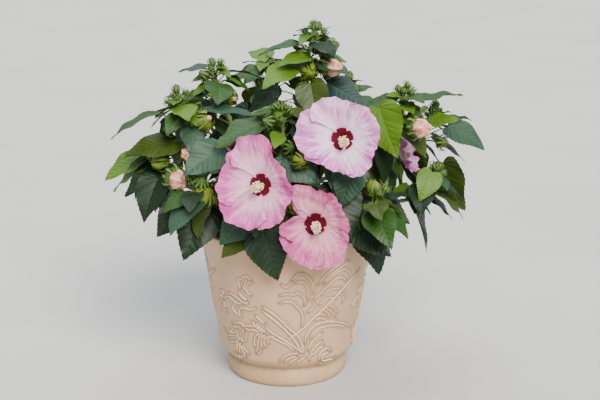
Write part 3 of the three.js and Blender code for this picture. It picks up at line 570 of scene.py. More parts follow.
def grow_buds(shoot, space):
    """The source's buds, in a cluster on the tip and in the angles of leaves."""
    row = shoot.row
    draw = seeded(row.seed + BUD_SEED_STEP)
    grow_cluster(shoot, space, CLUSTER, draw, row.buds, max(1, row.buds - 1))
    for number in range(row.leaves):
        share = number / (row.leaves - 1)
        bearing = row.bearing + number * GOLDEN_ANGLE + AXIL_TURN
        stalk = mix(AXIL_STALK, draw())
        radius = mix(AXIL_RADIUS, draw())
        if AXIL_RANGE[0] <= share <= AXIL_RANGE[1] and number % 2 == 0:
            direction = raised(level(bearing), AXIL_RISE)
            bud = make_bud(shoot.curve.point(leaf_place(share)), direction, stalk, radius)
            settle(space, shoot, bud_samples(bud), shoot.buds, bud)


def leaf_form(row, number, share, draw, turn=0, size=1):
    """How a seeded leaf stands and hangs, at its share of the way up the foliage."""

    def around(name):
        return (draw() * 2 - 1) * LEAF_SPREAD[name]

    return {
        "bearing": row.bearing + turn + number * GOLDEN_ANGLE + around("bearing"),
        "rise": mix(LEAF_STALK_RISE, share) + around("rise"),
        "stalk": mix(LEAF_STALK, share) * (1 + around("stalk")),
        "length": size * mix(LEAF_LENGTH, share**LEAF_LENGTH_CURVE) * (1 + around("length")),
        "droop": mix(LEAF_DROOP, share) + around("droop"),
        "roll": around("roll"),
        "fold": LEAF_FOLD + around("fold"),
    }


def try_leaf(shoot, space, at, form, own_room=OWN_ROOM, slack=math.inf, tone=None):
    """Sets a leaf in the first of its ways that has room."""
    for turn, drop, size in LEAF_TRIES:
        changed = dict(form, bearing=form["bearing"] + turn, droop=form["droop"] + drop)
        changed["length"] = form["length"] * size
        leaf = make_leaf(shoot, at, changed, tone)
        if settle(space, shoot, leaf_samples(leaf), shoot.leaves, leaf, own_room, slack):
            return


def grow_leaves(shoot, space):
    """The source's leaves, from the tip down."""
    draw = seeded(shoot.row.seed)
    for number in reversed(range(shoot.row.leaves)):
        share = number / (shoot.row.leaves - 1)
        try_leaf(shoot, space, leaf_place(share), leaf_form(shoot.row, number, share, draw))


class Bloom:
    """An open bloom's place, its directions and its stalk, which starts just clear of its cane."""

    def __init__(self, row, shoots):
        self.row = row
        shoot = next(candidate for candidate in shoots if candidate.key == row.on)
        self.centre = np.array(row.centre, float)
        self.facing = raised(level(TO_VIEWER + row.turn), row.tilt)
        self.side = unit(np.cross(UP, self.facing))
        self.top = np.cross(self.facing, self.side)
        self.throat = self.centre - self.facing * BLOOM_DEPTH
        self.back = self.throat - self.facing * CALYX_LENGTH
        self.radius = max(row.size) / 2
        corners, middle, axis = leader_section(shoot, row.at)
        outward = square_to(self.back - middle, axis)
        surface = ((corners - middle) @ outward).max()
        start = middle + outward * (surface + GAP)
        reach = math.dist(start, self.back) * BLOOM_STALK_REACH
        self.stalk = Bezier(start, start + outward * reach, self.back - self.facing * reach, self.back)
        self.cane_point = middle


def ring_at(centre, axis, start, radius, sides):
    """A ring of points round an axis, starting on the given side."""
    first = square_to(start, axis)
    second = np.cross(axis, first)
    angles = even_angles(sides)
    return centre + radius * (np.outer(np.cos(angles), first) + np.outer(np.sin(angles), second))


def leader_section(shoot, along):
    """A section of a cane's leafy part, which runs straight from each of its rings to the next."""
    start = FOLIAGE_STARTS + GAP / shoot.curve.length()
    place = (along - start) / (1 - start) * LEADER_STEPS
    step = min(math.floor(place), LEADER_STEPS - 1)
    middles, corners = [], []
    for ring in (step, step + 1):
        share = mix((start, 1), ring / LEADER_STEPS)
        middle, axis = shoot.curve.point(share), shoot.curve.tangent(share)
        middles.append(middle)
        corners.append(ring_at(middle, axis, shoot.across, cane_radius(share), LEADER_SIDES))
    return mix(corners, place - step), mix(middles, place - step), unit(middles[1] - middles[0])


def bloom_point(bloom, share, angle):
    """Points on a bloom's face, at a share of the way to its margin and an angle from its top."""
    lobes = 1 + BLOOM_LOBES * share * np.cos(PETALS * angle)
    height = BLOOM_DEPTH * (share**BLOOM_CURVE - 1)
    return (
        bloom.centre
        + (bloom.row.size[0] / 2 * share * lobes * np.sin(angle))[..., None] * bloom.side
        + (bloom.row.size[1] / 2 * share * lobes * np.cos(angle))[..., None] * bloom.top
        + height[..., None] * bloom.facing
    )


def bloom_samples(bloom):
    parts = [curve_samples(bloom.stalk, BLOOM_STALK_CLEAR, 1, BLOOM_STALK_SAMPLES)]
    parts.append(line_samples(bloom.back, bloom.throat, CALYX_RADIUS))
    for share in BLOOM_SAMPLE_RINGS:
        angles = even_angles(round(share * BLOOM_SAMPLES))
        points = bloom_point(bloom, np.full(len(angles), float(share)), angles)
        parts.append(samples_at(points, BLADE_ROOM, False))
    return joined_samples(*parts)


# Finer growth: a crowd of buds and young leaves on each tip, listed leaves and buds that fill gaps, and
# smaller leaves in the spaces left between the others. A slack is how far past the part's box they reach
TIP_BUDS = 9
FEW_BUDS = 3
TIP_BUD_SEED_STEP = 1100
YOUNG_LEAVES = 6
YOUNG_LENGTH = (66, 34)
YOUNG_STALK = (22, 10)
YOUNG_RISE = (22, 60)
YOUNG_DROOP = (10, -12)
YOUNG_PLACE = (0.93, 1)
YOUNG_LIME_SHARE = 0.6
YOUNG_SEED_STEP = 700
YOUNG_OWN_ROOM = 0.35
INFILL_BEARING = 68
INFILL_SIZE = 0.74
INFILL_SEED_STEP = 900
INFILL_OWN_ROOM = 0.5
LEAF_SLACK = 6
GAP_ROOM = 0.2
GAP_DEPTHS = (0, 8, -8, 16, -16, 24, -24, 34, -34)

# Leaves and buds that fill gaps between others in the photo, given as the named ones are
GAP_LEAVES = (
    ("front", 0.74, (0, -150, 512), (72, -172, 458), 40, 0, "slate"),
    ("centre", 0.6, (-14, -140, 516), (66, -172, 466), 30, 0, "slate"),
    ("behind", 0.66, (116, -132, 512), (108, -176, 424), 20, 0, "slate"),
    ("behind", 0.62, (104, -120, 500), (176, -146, 456), 40, 10, "mid"),
    ("frontRight", 0.62, (150, -170, 366), (214, -216, 322), 35, 0, "dark"),
    ("farLeft", 0.66, (-258, -84, 470), (-338, -116, 424), 55, 0, "dark"),
    ("lowRight", 0.9, (301, -105, 472), (273, -140, 419), 15, 0, "lime"),
    ("lowRight", 0.86, (214, -96, 528), (298, -112, 512), 25, 0, "lime"),
    ("farRight", 0.8, (301, -30, 557), (366, -40, 567), 70, 0, "lime"),
    ("top", 0.9, (46, -30, 700), (-20, -60, 688), 75, 0, "lime"),
    ("top", 0.88, (70, -30, 690), (132, -58, 668), 70, 0, "slate"),
)
GAP_BUDS = (
    ("front", 0.84, (16, -176, 424), 15, "pod"),
    ("centre", 0.72, (30, -170, 516), 14, "pod"),
    ("upperRight", 0.8, (268, -104, 565), 18, "opening"),
)


def grow_tip_buds(shoot, space):
    """A crowd of small buds in their bractlets on the cane's tip, fewer where it has few buds."""
    count = TIP_BUDS if shoot.row.buds >= FEW_BUDS else TIP_BUDS // 2
    grow_cluster(shoot, space, TIP_CLUSTER, seeded(shoot.row.seed + TIP_BUD_SEED_STEP), count, TIP_BUDS - 1)


def grow_gap_fillers(shoot, space):
    """What fills gaps, let near to the things round it and moved nearer the viewer or farther for room."""
    grow_listed(shoot, space, GAP_LEAVES, GAP_BUDS, GAP_DEPTHS, GAP_ROOM)


def grow_young_leaves(shoot, space):
    """Small fresh leaves that stand round the cane's tip."""
    draw = seeded(shoot.row.seed + YOUNG_SEED_STEP)
    for number in range(YOUNG_LEAVES):
        share = number / (YOUNG_LEAVES - 1)
        form = {
            "bearing": shoot.row.bearing + (shoot.row.leaves + number) * GOLDEN_ANGLE,
            "rise": mix(YOUNG_RISE, share),
            "stalk": mix(YOUNG_STALK, share),
            "length": mix(YOUNG_LENGTH, share),
            "droop": mix(YOUNG_DROOP, share) + (draw() * 2 - 1) * LEAF_SPREAD["droop"],
            "roll": (draw() * 2 - 1) * LEAF_SPREAD["roll"],
            "fold": LEAF_FOLD * 2,
        }
        # Lime is partly the fresh green of young leaves and partly painted light shining through them
        tone = "lime" if draw() < YOUNG_LIME_SHARE else "mid"
        try_leaf(shoot, space, mix(YOUNG_PLACE, share), form, YOUNG_OWN_ROOM, LEAF_SLACK, tone)


def grow_infill_leaves(shoot, space):
    """A second, smaller set of leaves, by the rule of the first."""
    draw = seeded(shoot.row.seed + INFILL_SEED_STEP)
    for number in reversed(range(shoot.row.leaves)):
        share = (number + 0.5) / shoot.row.leaves
        form = leaf_form(shoot.row, number, share, draw, INFILL_BEARING, INFILL_SIZE)
        try_leaf(shoot, space, leaf_place(share), form, INFILL_OWN_ROOM, LEAF_SLACK)


def grow_plant():
    """The whole plant as positions: shoots with their leaves and buds, and blooms."""
    shoots = make_shoots()
    blooms = [Bloom(row, shoots) for row in BLOOMS]
    space = Space(blooms)
    for shoot in shoots:
        space.take(curve_samples(shoot.curve, 0, FOLIAGE_STARTS, BOUGH_SAMPLES), "bough")
        space.take(curve_samples(shoot.curve, FOLIAGE_STARTS, 1, LEADER_SAMPLES), shoot.key)
    for bloom in blooms:
        space.take(bloom_samples(bloom), "bloom")
    by_rule = (grow_named, grow_buds, grow_leaves)
    finer = (grow_tip_buds, grow_gap_fillers, grow_young_leaves, grow_infill_leaves)
    for grow in by_rule + finer:
        for shoot in shoots:
            grow(shoot, space)
    return shoots, blooms


shoots, blooms = grow_plant()


# Meshes
class Mesher:
    """Collects surfaces in millimetres and makes one mesh of them."""

    def __init__(self):
        self.points = []
        self.faces = []
        self.corner_uvs = []
        self.slots = []
        self.values = []
        self.count = 0

    def grid(self, points, slot=0, closed=False, caps=False, flip=False, uvs=None, values=None):
        """Adds a grid of quads. A closed one joins its last column to its first."""
        rows, columns = points.shape[:2]
        wide = columns + 1 if closed else columns
        numbers = np.arange(rows * wide).reshape(rows, wide)
        quads = np.stack([numbers[:-1, :-1], numbers[:-1, 1:], numbers[1:, 1:], numbers[1:, :-1]], axis=-1)
        quads = quads.reshape(-1, 4)
        if flip:
            quads = quads[:, ::-1]
        corner_uvs = np.zeros((*quads.shape, 2)) if uvs is None else uvs.reshape(-1, 2)[quads]
        row, column = np.divmod(quads, wide)
        faces = row * columns + column % columns
        self.points.append(points.reshape(-1, 3))
        self.faces.append(faces + self.count)
        self.slots.append(np.broadcast_to(slot, (rows - 1, wide - 1)).ravel())
        self.corner_uvs.append(corner_uvs)
        if caps:
            self.cap(columns, (rows - 1) * columns, slot)
        whole = (rows, columns)
        flat = {name: np.broadcast_to(value, whole).ravel() for name, value in (values or {}).items()}
        self.values.append((rows * columns, flat))
        self.count += rows * columns

    def solid(self, points, slot=0, values=None):
        """Adds a body from its rings, closed at both ends."""
        self.grid(points, slot, closed=True, caps=True, values=values)

    def cap(self, sides, last, slot):
        """Closes both ends of a tube whose last ring starts at the given point."""
        ring = np.arange(sides)
        for face in (ring[::-1], ring + last):
            self.faces.append(face[None] + self.count)
            self.slots.append(np.full(1, slot))
            self.corner_uvs.append(np.zeros((1, sides, 2)))

    def make(self, name, materials, unwrapped=False):
        """The object of all the surfaces, with its materials."""
        mesh = bpy.data.meshes.new(name)
        corners = np.concatenate([faces.ravel() for faces in self.faces])
        totals = np.concatenate([np.full(len(faces), faces.shape[1]) for faces in self.faces])
        starts = np.concatenate([[0], np.cumsum(totals)[:-1]])
        mesh.vertices.add(self.count)
        mesh.vertices.foreach_set("co", (np.concatenate(self.points) * MM).ravel())
        mesh.loops.add(len(corners))
        mesh.loops.foreach_set("vertex_index", corners.astype(np.int32))
        mesh.polygons.add(len(starts))
        mesh.polygons.foreach_set("loop_start", starts.astype(np.int32))
        mesh.polygons.foreach_set("material_index", np.concatenate(self.slots).astype(np.int32))
        mesh.polygons.foreach_set("use_smooth", np.ones(len(starts), bool))
        for key in sorted({key for _, flat in self.values for key in flat}):
            layer = mesh.attributes.new(key, "FLOAT", "POINT")
            columns = [flat.get(key, np.zeros(count)) for count, flat in self.values]
            layer.data.foreach_set("value", np.concatenate(columns).astype(np.float32))
        if unwrapped:
            layer = mesh.uv_layers.new(name="OFBake")
            pairs = np.concatenate([uvs.reshape(-1, 2) for uvs in self.corner_uvs])
            layer.data.foreach_set("uv", pairs.ravel().astype(np.float32))
        mesh.update(calc_edges=True)
        mesh.validate()
        for material in materials:
            mesh.materials.append(material)
        made = bpy.data.objects.new(name, mesh)
        bpy.context.scene.collection.objects.link(made)
        return made


def tube(points, radii, sides):
    """Rings of points round a line, numbered so that the faces look outwards."""
    points = np.asarray(points, float)
    tangents = np.gradient(points, axis=0)
    tangents /= np.linalg.norm(tangents, axis=1)[:, None]
    start = np.array([0.0, 1.0, 0.0] if abs(tangents[0][1]) < 0.9 else [1.0, 0.0, 0.0])
    rings = []
    for point, tangent, radius in zip(points, tangents, np.broadcast_to(radii, len(points))):
        start = square_to(start, tangent)
        rings.append(ring_at(point, tangent, start, radius, sides))
    return np.array(rings)


def foliage_nodes(numbers=range(len(SHOOTS))):
    return [f"foliage_{number + 1:02d}" for number in numbers]


def finish_piece(piece, slot, *nodes):
    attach(piece, "root")
    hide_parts(*nodes)


# Materials
NOISE_RANGE = (0.3, 0.7)
PLANT_SPECULAR = 0.3
SHEEN_ROUGHNESS = 0.5
SHEEN_TINT = (0.75, 0.88, 1)


class Skin:
    """A material with one shader, and the nodes that make its look."""

    def __init__(self, name):
        self.material = bpy.data.materials.new(name)
        self.material.use_nodes = True
        self.tree = self.material.node_tree
        self.shader = self.tree.nodes["Principled BSDF"]

    def feed(self, socket, value):
        """Links a socket to the output of a node, or sets it to a plain colour or number."""
        if isinstance(value, bpy.types.NodeSocket):
            self.tree.links.new(value, socket)
        else:
            socket.default_value = (*value, 1) if isinstance(value, tuple) else value

    def give(self, name, value):
        """Feeds an input of the shader."""
        self.feed(self.shader.inputs[name], value)

    def node(self, kind, **settings):
        node = self.tree.nodes.new("ShaderNode" + kind)
        for key, value in settings.items():
            setattr(node, key, value)
        return node

    def attribute(self, name):
        return self.node("Attribute", attribute_name=name).outputs["Fac"]

    def noise(self, scale, detail=3, place=None):
        """Noise over the object's own coordinates, or over a place that other nodes make."""
        node = self.node("TexNoise")
        node.inputs["Scale"].default_value = scale
        node.inputs["Detail"].default_value = detail
        self.feed(node.inputs["Vector"], self.node("TexCoord").outputs["Object"] if place is None else place)
        return node.outputs["Fac"]

    def ramp(self, factor, *stops):
        """A colour by a factor, from stops of place and colour."""
        node = self.node("ValToRGB")
        elements = node.color_ramp.elements
        while len(elements) < len(stops):
            elements.new(0.5)
        for element, (place, colour) in zip(elements, stops):
            element.position = place
            element.color = (*colour, 1)
        self.feed(node.inputs["Fac"], factor)
        return node.outputs["Color"]

    def mix(self, factor, first, second):
        """A mix of two colours."""
        node = self.node("Mix", data_type="RGBA")
        for place, value in ((0, factor), (6, first), (7, second)):
            self.feed(node.inputs[place], value)
        return node.outputs[2]

    def spread(self, factor, target, source=NOISE_RANGE):
        """A value taken from one range to another."""
        node = self.node("MapRange")
        names = ("Value", "From Min", "From Max", "To Min", "To Max")
        for name, value in zip(names, (factor, *source, *target)):
            self.feed(node.inputs[name], value)
        return node.outputs["Result"]

    def combine(self, operation, first, second):
        """One value from two, by a sum, a product or the like."""
        node = self.node("Math", operation=operation)
        for place, value in enumerate((first, second)):
            self.feed(node.inputs[place], value)
        return node.outputs["Value"]

    def bump(self, height, distance):
        """Relief, from a height of 0 to 1 that stands for a distance in millimetres."""
        node = self.node("Bump")
        node.inputs["Distance"].default_value = distance * MM
        node.inputs["Strength"].default_value = 1
        self.feed(node.inputs["Height"], height)
        self.give("Normal", node.outputs["Normal"])


# Plain parts of the plant and its soil: colour, range of roughness, fineness of the grain, relief in
# millimetres and sheen
PlantLook = namedtuple("PlantLook", "colour roughness grain relief sheen", defaults=(0.0,))
PLANT_LOOKS = {
    "fresh_stalk": PlantLook((0.140, 0.220, 0.026), (0.35, 0.55), 300, 0.3),
    "ripe_stalk": PlantLook((0.085, 0.115, 0.020), (0.4, 0.6), 300, 0.3),
    "bud_green": PlantLook((0.054, 0.100, 0.016), (0.4, 0.6), 350, 0.4),
    "bractlet_green": PlantLook((0.110, 0.190, 0.042), (0.4, 0.6), 350, 0.2),
    "pod_green": PlantLook((0.140, 0.195, 0.016), (0.4, 0.55), 350, 0.4),
    "calyx_green": PlantLook((0.150, 0.205, 0.055), (0.4, 0.6), 350, 0.4),
    "column_cream": PlantLook((0.78, 0.52, 0.36), (0.5, 0.7), 500, 0.2),
    "pollen": PlantLook((0.90, 0.70, 0.47), (0.7, 0.9), 600, 0.2),
    "soil": PlantLook((0.030, 0.021, 0.014), (0.8, 0.95), 180, 1.6),
    "soil_bark": PlantLook((0.075, 0.045, 0.026), (0.8, 0.95), 150, 0.6),
    "soil_crumb": PlantLook((0.045, 0.033, 0.022), (0.8, 0.95), 150, 0.6),
}


def plant_material(name, look):
    """A plain part of the plant: one colour with fine relief and an uneven gloss."""
    skin = Skin(name)
    skin.give("Base Color", look.colour)
    skin.give("Specular IOR Level", PLANT_SPECULAR)
    skin.give("Sheen Weight", look.sheen)
    skin.give("Sheen Roughness", SHEEN_ROUGHNESS)
    skin.give("Sheen Tint", SHEEN_TINT)
    grain = skin.noise(look.grain)
    skin.give("Roughness", skin.spread(grain, look.roughness))
    skin.bump(grain, look.relief)
    return skin.material


def plant_materials(*names):
    return [plant_material(name, PLANT_LOOKS[name]) for name in names]


# Leaves: half of a blade's margin, and its teeth, veins and relief, as shares of its length
MARGIN = (
    (0.004, 0.010), (-0.055, 0.075), (-0.075, 0.17), (-0.015, 0.275), (0.12, 0.36), (0.28, 0.385),
    (0.45, 0.34), (0.62, 0.25), (0.78, 0.15), (0.9, 0.062), (1, 0),
)
MARGIN_STEP = 0.004
LEAST_HALF = 0.0006
RAYS_BEFORE_TEETH = [0, 0.04, 0.09, 0.14]
RAYS_AFTER_TEETH = [0.965, 0.985, 1]
TEETH = 12
TEETH_FROM = 0.17
TOOTH_DEPTH = 0.013
VEIN_TEETH = (0, 2, 4, 6, 7, 8, 9, 10)
VEIN_LEAN = 0.9
VEIN_START = (0.985, 0.01)
VEIN_BOW = 0.12
VEIN_WIDTH = (0.0060, 0.0018)
VEIN_OPENING = (0, 12)
VEIN_GROOVE = 0.003
MIDRIB_WIDTH = (0.009, 0.0027)
MIDRIB_SHARES = (0.004, 0.3)
QUILT_FROM = -0.05
QUILTING = (0.0042, 0.0098)
LEAF_WAVE = (0.011, 0.033)
LEAF_WAVES = 17
LEAF_WAVE_RAMP = (0, 4)
LEAF_WAVE_APART = 1.3
TIP_HANG = 0.09
LEAF_BEND = 0.07
TINY = 1e-6

# A blade's lower corner and its size, across and along, and the margin round it in the unwrapped picture
BLADE_LOW = (-0.42, -0.1)
BLADE_SIZE = (0.84, 1.12)
UV_MARGIN = 0.04

# Millimetres: thickness, and the lengths over which a leaf is drawn in full and swells its cane
LEAF_THICKNESS = 0.7
SMALL_LEAF = 56
YOUNG_LEAF = 46

# Into how many pieces the leaves are joined, and the step from a shoot's seed to that of its leaves
LEAF_GROUPS = 6
LEAF_SEED_STEP = 11

# Upper side, underside and veins of each tone, and the finish of each. The dark tone is partly the leaves'
# own deep green and partly painted shade, for leaves low in the crown; slate and blue are green with a
# painted bluish reflection of the sky on the upper side; lime is partly the fresh green of young leaves and
# partly painted light shining through leaves lit from behind
TONES = {
    "dark": ((0.003, 0.016, 0.002), (0.028, 0.060, 0.005), (0.014, 0.040, 0.007)),
    "slate": ((0.019, 0.056, 0.026), (0.055, 0.108, 0.035), (0.046, 0.098, 0.052)),
    "olive": ((0.034, 0.056, 0.002), (0.068, 0.104, 0.005), (0.064, 0.094, 0.008)),
    "mid": ((0.015, 0.055, 0.003), (0.050, 0.106, 0.008), (0.042, 0.096, 0.012)),
    "lime": ((0.064, 0.140, 0.002), (0.102, 0.195, 0.005), (0.120, 0.215, 0.015)),
    "blue": ((0.008, 0.030, 0.022), (0.044, 0.090, 0.044), (0.060, 0.114, 0.086)),
}
LEAF_FINISHES = (
    ("leaf", (0.38, 0.56), 420, 0.3, 0.05),
    ("underside", (0.6, 0.8), 420, 0.4),
    ("veins", (0.45, 0.6), 300, 0.2),
)

# Tones of the seeded leaves, as shares that add up to one, at places from the lowest leaf to the highest
TONE_NAMES = tuple(TONES)
TONE_PLACES = (0, 0.6, 1)
TONE_SHARES = (
    (0.5, 0.16, 0.16, 0.12, 0.02, 0.04),
    (0.26, 0.2, 0.16, 0.26, 0.08, 0.04),
    (0.1, 0.19, 0.1, 0.36, 0.22, 0.03),
)
BELOW_ONE = 0.999


def tone_of(leaf, draw):
    """The tone of a leaf: its own, or drawn with more of the dark tone, partly painted shade, low down
    and more of the lime tone, partly fresh growth and partly painted light, towards the tip of its cane.
    """
    drawn = draw() * BELOW_ONE
    if leaf.tone:
        return leaf.tone
    place = np.clip((leaf.at - LEAVES_FROM) / (LEAVES_TO - LEAVES_FROM), 0, 1)
    shares = [np.interp(place, TONE_PLACES, column) for column in zip(*TONE_SHARES)]
    index = int(np.searchsorted(np.cumsum(shares), drawn))
    return TONE_NAMES[min(index, len(TONE_NAMES) - 1)]


def catmull_rom(controls, steps=24):
    """A smooth line through its control points, as closely spaced points."""
    controls = np.array(controls, float)
    ends = np.vstack([2 * controls[0] - controls[1], controls, 2 * controls[-1] - controls[-2]])
    line = []
    for number in range(len(controls) - 1):
        before, start, end, after = ends[number:number + 4]
        for step in range(steps):
            t = step / steps
            slope = (end - before) * t + (2 * before - 5 * start + 4 * end - after) * t * t
            line.append(start + 0.5 * (slope + (3 * start - before - 3 * end + after) * t**3))
    return np.array(line + [controls[-1]])


def at_lengths(line, lengths, places):
    """Points of a flat line at some places, where the line's own points lie at the given lengths."""
    return np.stack([np.interp(places, lengths, line[:, axis]) for axis in (0, 1)], axis=1)


class LeafTemplate:
    """A blade in the plane: rays from the midrib to the toothed margin, with pairs of rays for veins."""

    def __init__(self, tooth_places, levels):
        places, depths, pairs = self.rays(tooth_places)
        margin = self.margin(places, depths)
        foot = np.maximum(0, margin[:, 0] - VEIN_LEAN * margin[:, 1])
        start = foot * VEIN_START[0] + VEIN_START[1] * places
        rays = margin - np.stack([start, np.zeros(len(start))], axis=1)
        length = np.maximum(np.hypot(*rays.T), TINY)
        inner = np.clip(mix(MIDRIB_WIDTH, start) / length, *MIDRIB_SHARES)
        outer = [np.full(len(places), level) for level in levels]
        shares = np.stack([np.zeros(len(places)), inner, *outer], axis=1)
        across_ray = np.stack([-rays[:, 1], rays[:, 0]], axis=1) / length[:, None]
        offset = pairs[:, None] * mix(VEIN_WIDTH, shares) * ramped(VEIN_OPENING, shares)
        x = start[:, None] + shares * rays[:, :1] + offset * across_ray[:, :1]
        x -= VEIN_BOW * shares * (1 - shares) * rays[:, 1:]
        y = shares * rays[:, 1:] + offset * across_ray[:, 1:]
        self.x = np.concatenate([x[:, :0:-1], x], axis=1)
        self.y = np.concatenate([-y[:, :0:-1], y], axis=1)
        self.y[:, len(levels) + 1] = 0
        self.share = np.concatenate([shares[:, :0:-1], shares], axis=1)
        self.side = np.sign(np.arange(self.x.shape[1]) - len(levels) - 1)
        self.places = places[:, None]
        self.bulge = self.bulge_between(places, pairs)[:, None]
        self.groove = (pairs != 0)[:, None] * np.ones(self.x.shape)
        self.vein = np.zeros((len(places) - 1, self.x.shape[1] - 1), bool)
        self.vein[:, [len(levels), len(levels) + 1]] = True
        self.vein[(pairs[:-1] > 0) & (pairs[1:] < 0)] = True

    @staticmethod
    def margin(places, depths):
        """Points of the margin at some places, each moved outwards by its depth of tooth."""
        line = catmull_rom(MARGIN)
        lengths = lengths_along(line)
        lengths /= lengths[-1]
        before, after = (at_lengths(line, lengths, places + step) for step in (-MARGIN_STEP, MARGIN_STEP))
        ahead = after - before
        outwards = np.stack([-ahead[:, 1], ahead[:, 0]], axis=1)
        outwards /= np.maximum(np.hypot(*ahead.T), TINY)[:, None]
        margin = at_lengths(line, lengths, places) + outwards * depths[:, None]
        margin[:, 1] = np.maximum(margin[:, 1], LEAST_HALF)
        return margin

    @staticmethod
    def rays(tooth_places):
        """Places of the rays along the margin, their depth of tooth and their side of a vein."""
        before = [(place, 0, 0) for place in RAYS_BEFORE_TEETH]
        width = (RAYS_AFTER_TEETH[0] - TEETH_FROM) / TEETH
        teeth = []
        for tooth in range(TEETH):
            for place, height in tooth_places:
                at = TEETH_FROM + (tooth + place) * width
                sides = (1, -1) if tooth in VEIN_TEETH and height == 1 else (0,)
                teeth += [(at, TOOTH_DEPTH * height, side) for side in sides]
        after = [(place, 0, 0) for place in RAYS_AFTER_TEETH]
        return np.array(before + teeth + after, float).T

    @staticmethod
    def bulge_between(places, pairs):
        """Height of the quilting, from nothing on a vein to one between two veins."""
        veins = np.concatenate([[QUILT_FROM], places[pairs > 0], [1]])
        step = np.clip(np.searchsorted(veins, places, side="right") - 1, 0, len(veins) - 2)
        phase = (places - veins[step]) / (veins[step + 1] - veins[step])
        return np.sin(math.pi * np.clip(phase, 0, 1))


# Blades, from places along a tooth with their height, and shares of the rays at which points lie
FULL_LEAF = LeafTemplate(((0, 0), (0.45, 0.55), (0.8, 1)), (0.3, 0.6, 0.85, 1))
PLAIN_LEAF = LeafTemplate(((0, 0), (0.75, 1)), (0.5, 1))


def leaf_relief(leaf, template, draw):
    """Height of a blade's relief: quilting between its veins, a waved margin and a tip that hangs."""
    phase = draw() * 2 * math.pi
    share = template.share
    quilt = mix(QUILTING, draw()) * template.bulge * np.clip(4 * share * (1 - share), 0, 1) ** 0.7
    waved = np.sin(template.places * LEAF_WAVES + template.side * LEAF_WAVE_APART + phase) * share**3
    wave = mix(LEAF_WAVE, draw()) * waved * ramped(LEAF_WAVE_RAMP, template.places)
    tip = -TIP_HANG * draw() * np.clip(template.x, 0, 1) ** 4
    bend = LEAF_BEND * (draw() * 2 - 1) * template.y * np.clip(template.x, 0, 1)
    return (quilt + wave + tip + bend - VEIN_GROOVE * template.groove * (1 - share)) * leaf.length


def cell_uvs(template, cell, cells):
    """Places of a blade in its own cell of the unwrapped picture."""
    places = (np.stack([template.y, template.x], axis=-1) - BLADE_LOW) / BLADE_SIZE
    corner = np.array(divmod(cell, cells)[::-1])
    return (corner + UV_MARGIN + (1 - 2 * UV_MARGIN) * places) / cells


def add_leaf(mesher, leaf, tone, draw, cell, cells):
    """A blade as its upper side and its underside, with the veins of both in their own material."""
    template = FULL_LEAF if leaf.length > SMALL_LEAF else PLAIN_LEAF
    upper, under, vein = 3 * TONE_NAMES.index(tone) + np.arange(3)
    relief = leaf_relief(leaf, template, draw)
    points = blade_point(leaf, template.x, template.y, relief)
    mesher.grid(points, np.where(template.vein, vein, upper), uvs=cell_uvs(template, cell, cells))
    below = points - (LEAF_THICKNESS * (1 - template.share**4))[..., None] * leaf.normal
    slots = np.where(template.vein, vein, under)
    mesher.grid(below, slots, flip=True, uvs=cell_uvs(template, cell + 1, cells))


def leaf_materials():
    """The upper side, the underside and the veins of each tone."""
    return [
        plant_material(f"{tone}_{side}", PlantLook(colour, *finish))
        for tone, colours in TONES.items()
        for colour, (side, *finish) in zip(colours, LEAF_FINISHES)
    ]


def build_leaves():
    """The leaves of three shoots at a time, joined."""
    materials = leaf_materials()
    for group in range(LEAF_GROUPS):
        members = range(group, len(shoots), LEAF_GROUPS)
        count = sum(len(shoots[number].leaves) for number in members)
        cells = math.ceil(math.sqrt(2 * count))
        mesher = Mesher()
        cell = 0
        for number in members:
            draw = seeded(shoots[number].row.seed + LEAF_SEED_STEP)
            for leaf in shoots[number].leaves:
                add_leaf(mesher, leaf, tone_of(leaf, draw), draw, cell, cells)
                cell += 2
        piece = mesher.make(f"leaves_{group + 1}", materials, unwrapped=True)
        finish_piece(piece, "leaf", *foliage_nodes(members))


# Stalks and canes
STALK_RADIUS = (1.9, 1.1)
STALK_ARCH = 0.07
STALK_SIDES = 6
STALK_RINGS = 9
STALK_SIZE = (0.55, 1)
STALK_END_SWELLING = 1.25
STALK_UNDER_BLADE = 0.02
RIPE_EVERY = 3
BUD_STALK_RADIUS = (2.0, 1.7)
BUD_STALK_IN_BUD = 0.9
BUD_STALK_SMALLEST = 0.25
BUD_STALK_FULL = 8
BUD_STALK_END = 2.6
BUD_STALK_END_SHARE = 0.32
CANE_SIDES = 10
CANE_RING_STEP = 5
CANE_LEAST_RINGS = 12
NODE_SWELLING = 0.35
NODE_WIDTH = 5
FOOT_FLARE = 1.1
FOOT_FLARE_LENGTH = 9
FURROW_DEPTH = 0.07
FURROW_FADE = (1.2, -0.8)
FURROWS = ((1, 3, 1 / 23, 1), (0.6, 4, 1 / 9, -1))
BARK_COLOURS = (
    (0.0, (0.150, 0.102, 0.058)), (0.25, (0.165, 0.130, 0.066)), (0.5, (0.135, 0.145, 0.055)),
    (0.75, (0.155, 0.205, 0.065)), (1.0, (0.190, 0.262, 0.072)),
)


def arched(start, end, arch):
    """A line of points between two places that arches upwards."""
    shares = np.linspace(0, 1, STALK_RINGS)[:, None]
    lift = 4 * shares * (1 - shares) * arch * math.dist(start, end)
    return start + (end - start) * shares + lift * UP


def leaf_stalk(leaf):
    radii = np.linspace(*STALK_RADIUS, STALK_RINGS) * mix(STALK_SIZE, min(1, leaf.length / LEAF_LENGTH[0]))
    radii[-1] *= STALK_END_SWELLING
    end = leaf.base + leaf.direction * STALK_UNDER_BLADE * leaf.length
    return tube(arched(leaf.root, end, STALK_ARCH), radii, STALK_SIDES)


def bud_stalk(bud):
    size = min(1, bud.radius / BUD_STALK_FULL + BUD_STALK_SMALLEST)
    radii = np.linspace(*BUD_STALK_RADIUS, STALK_RINGS) * size
    radii[-1] = min(BUD_STALK_END, bud.radius * BUD_STALK_END_SHARE)
    end = bud.centre - bud.direction * bud.radius * BUD_STALK_IN_BUD
    return tube(arched(bud.root, end, STALK_ARCH / 2), radii, STALK_SIDES)


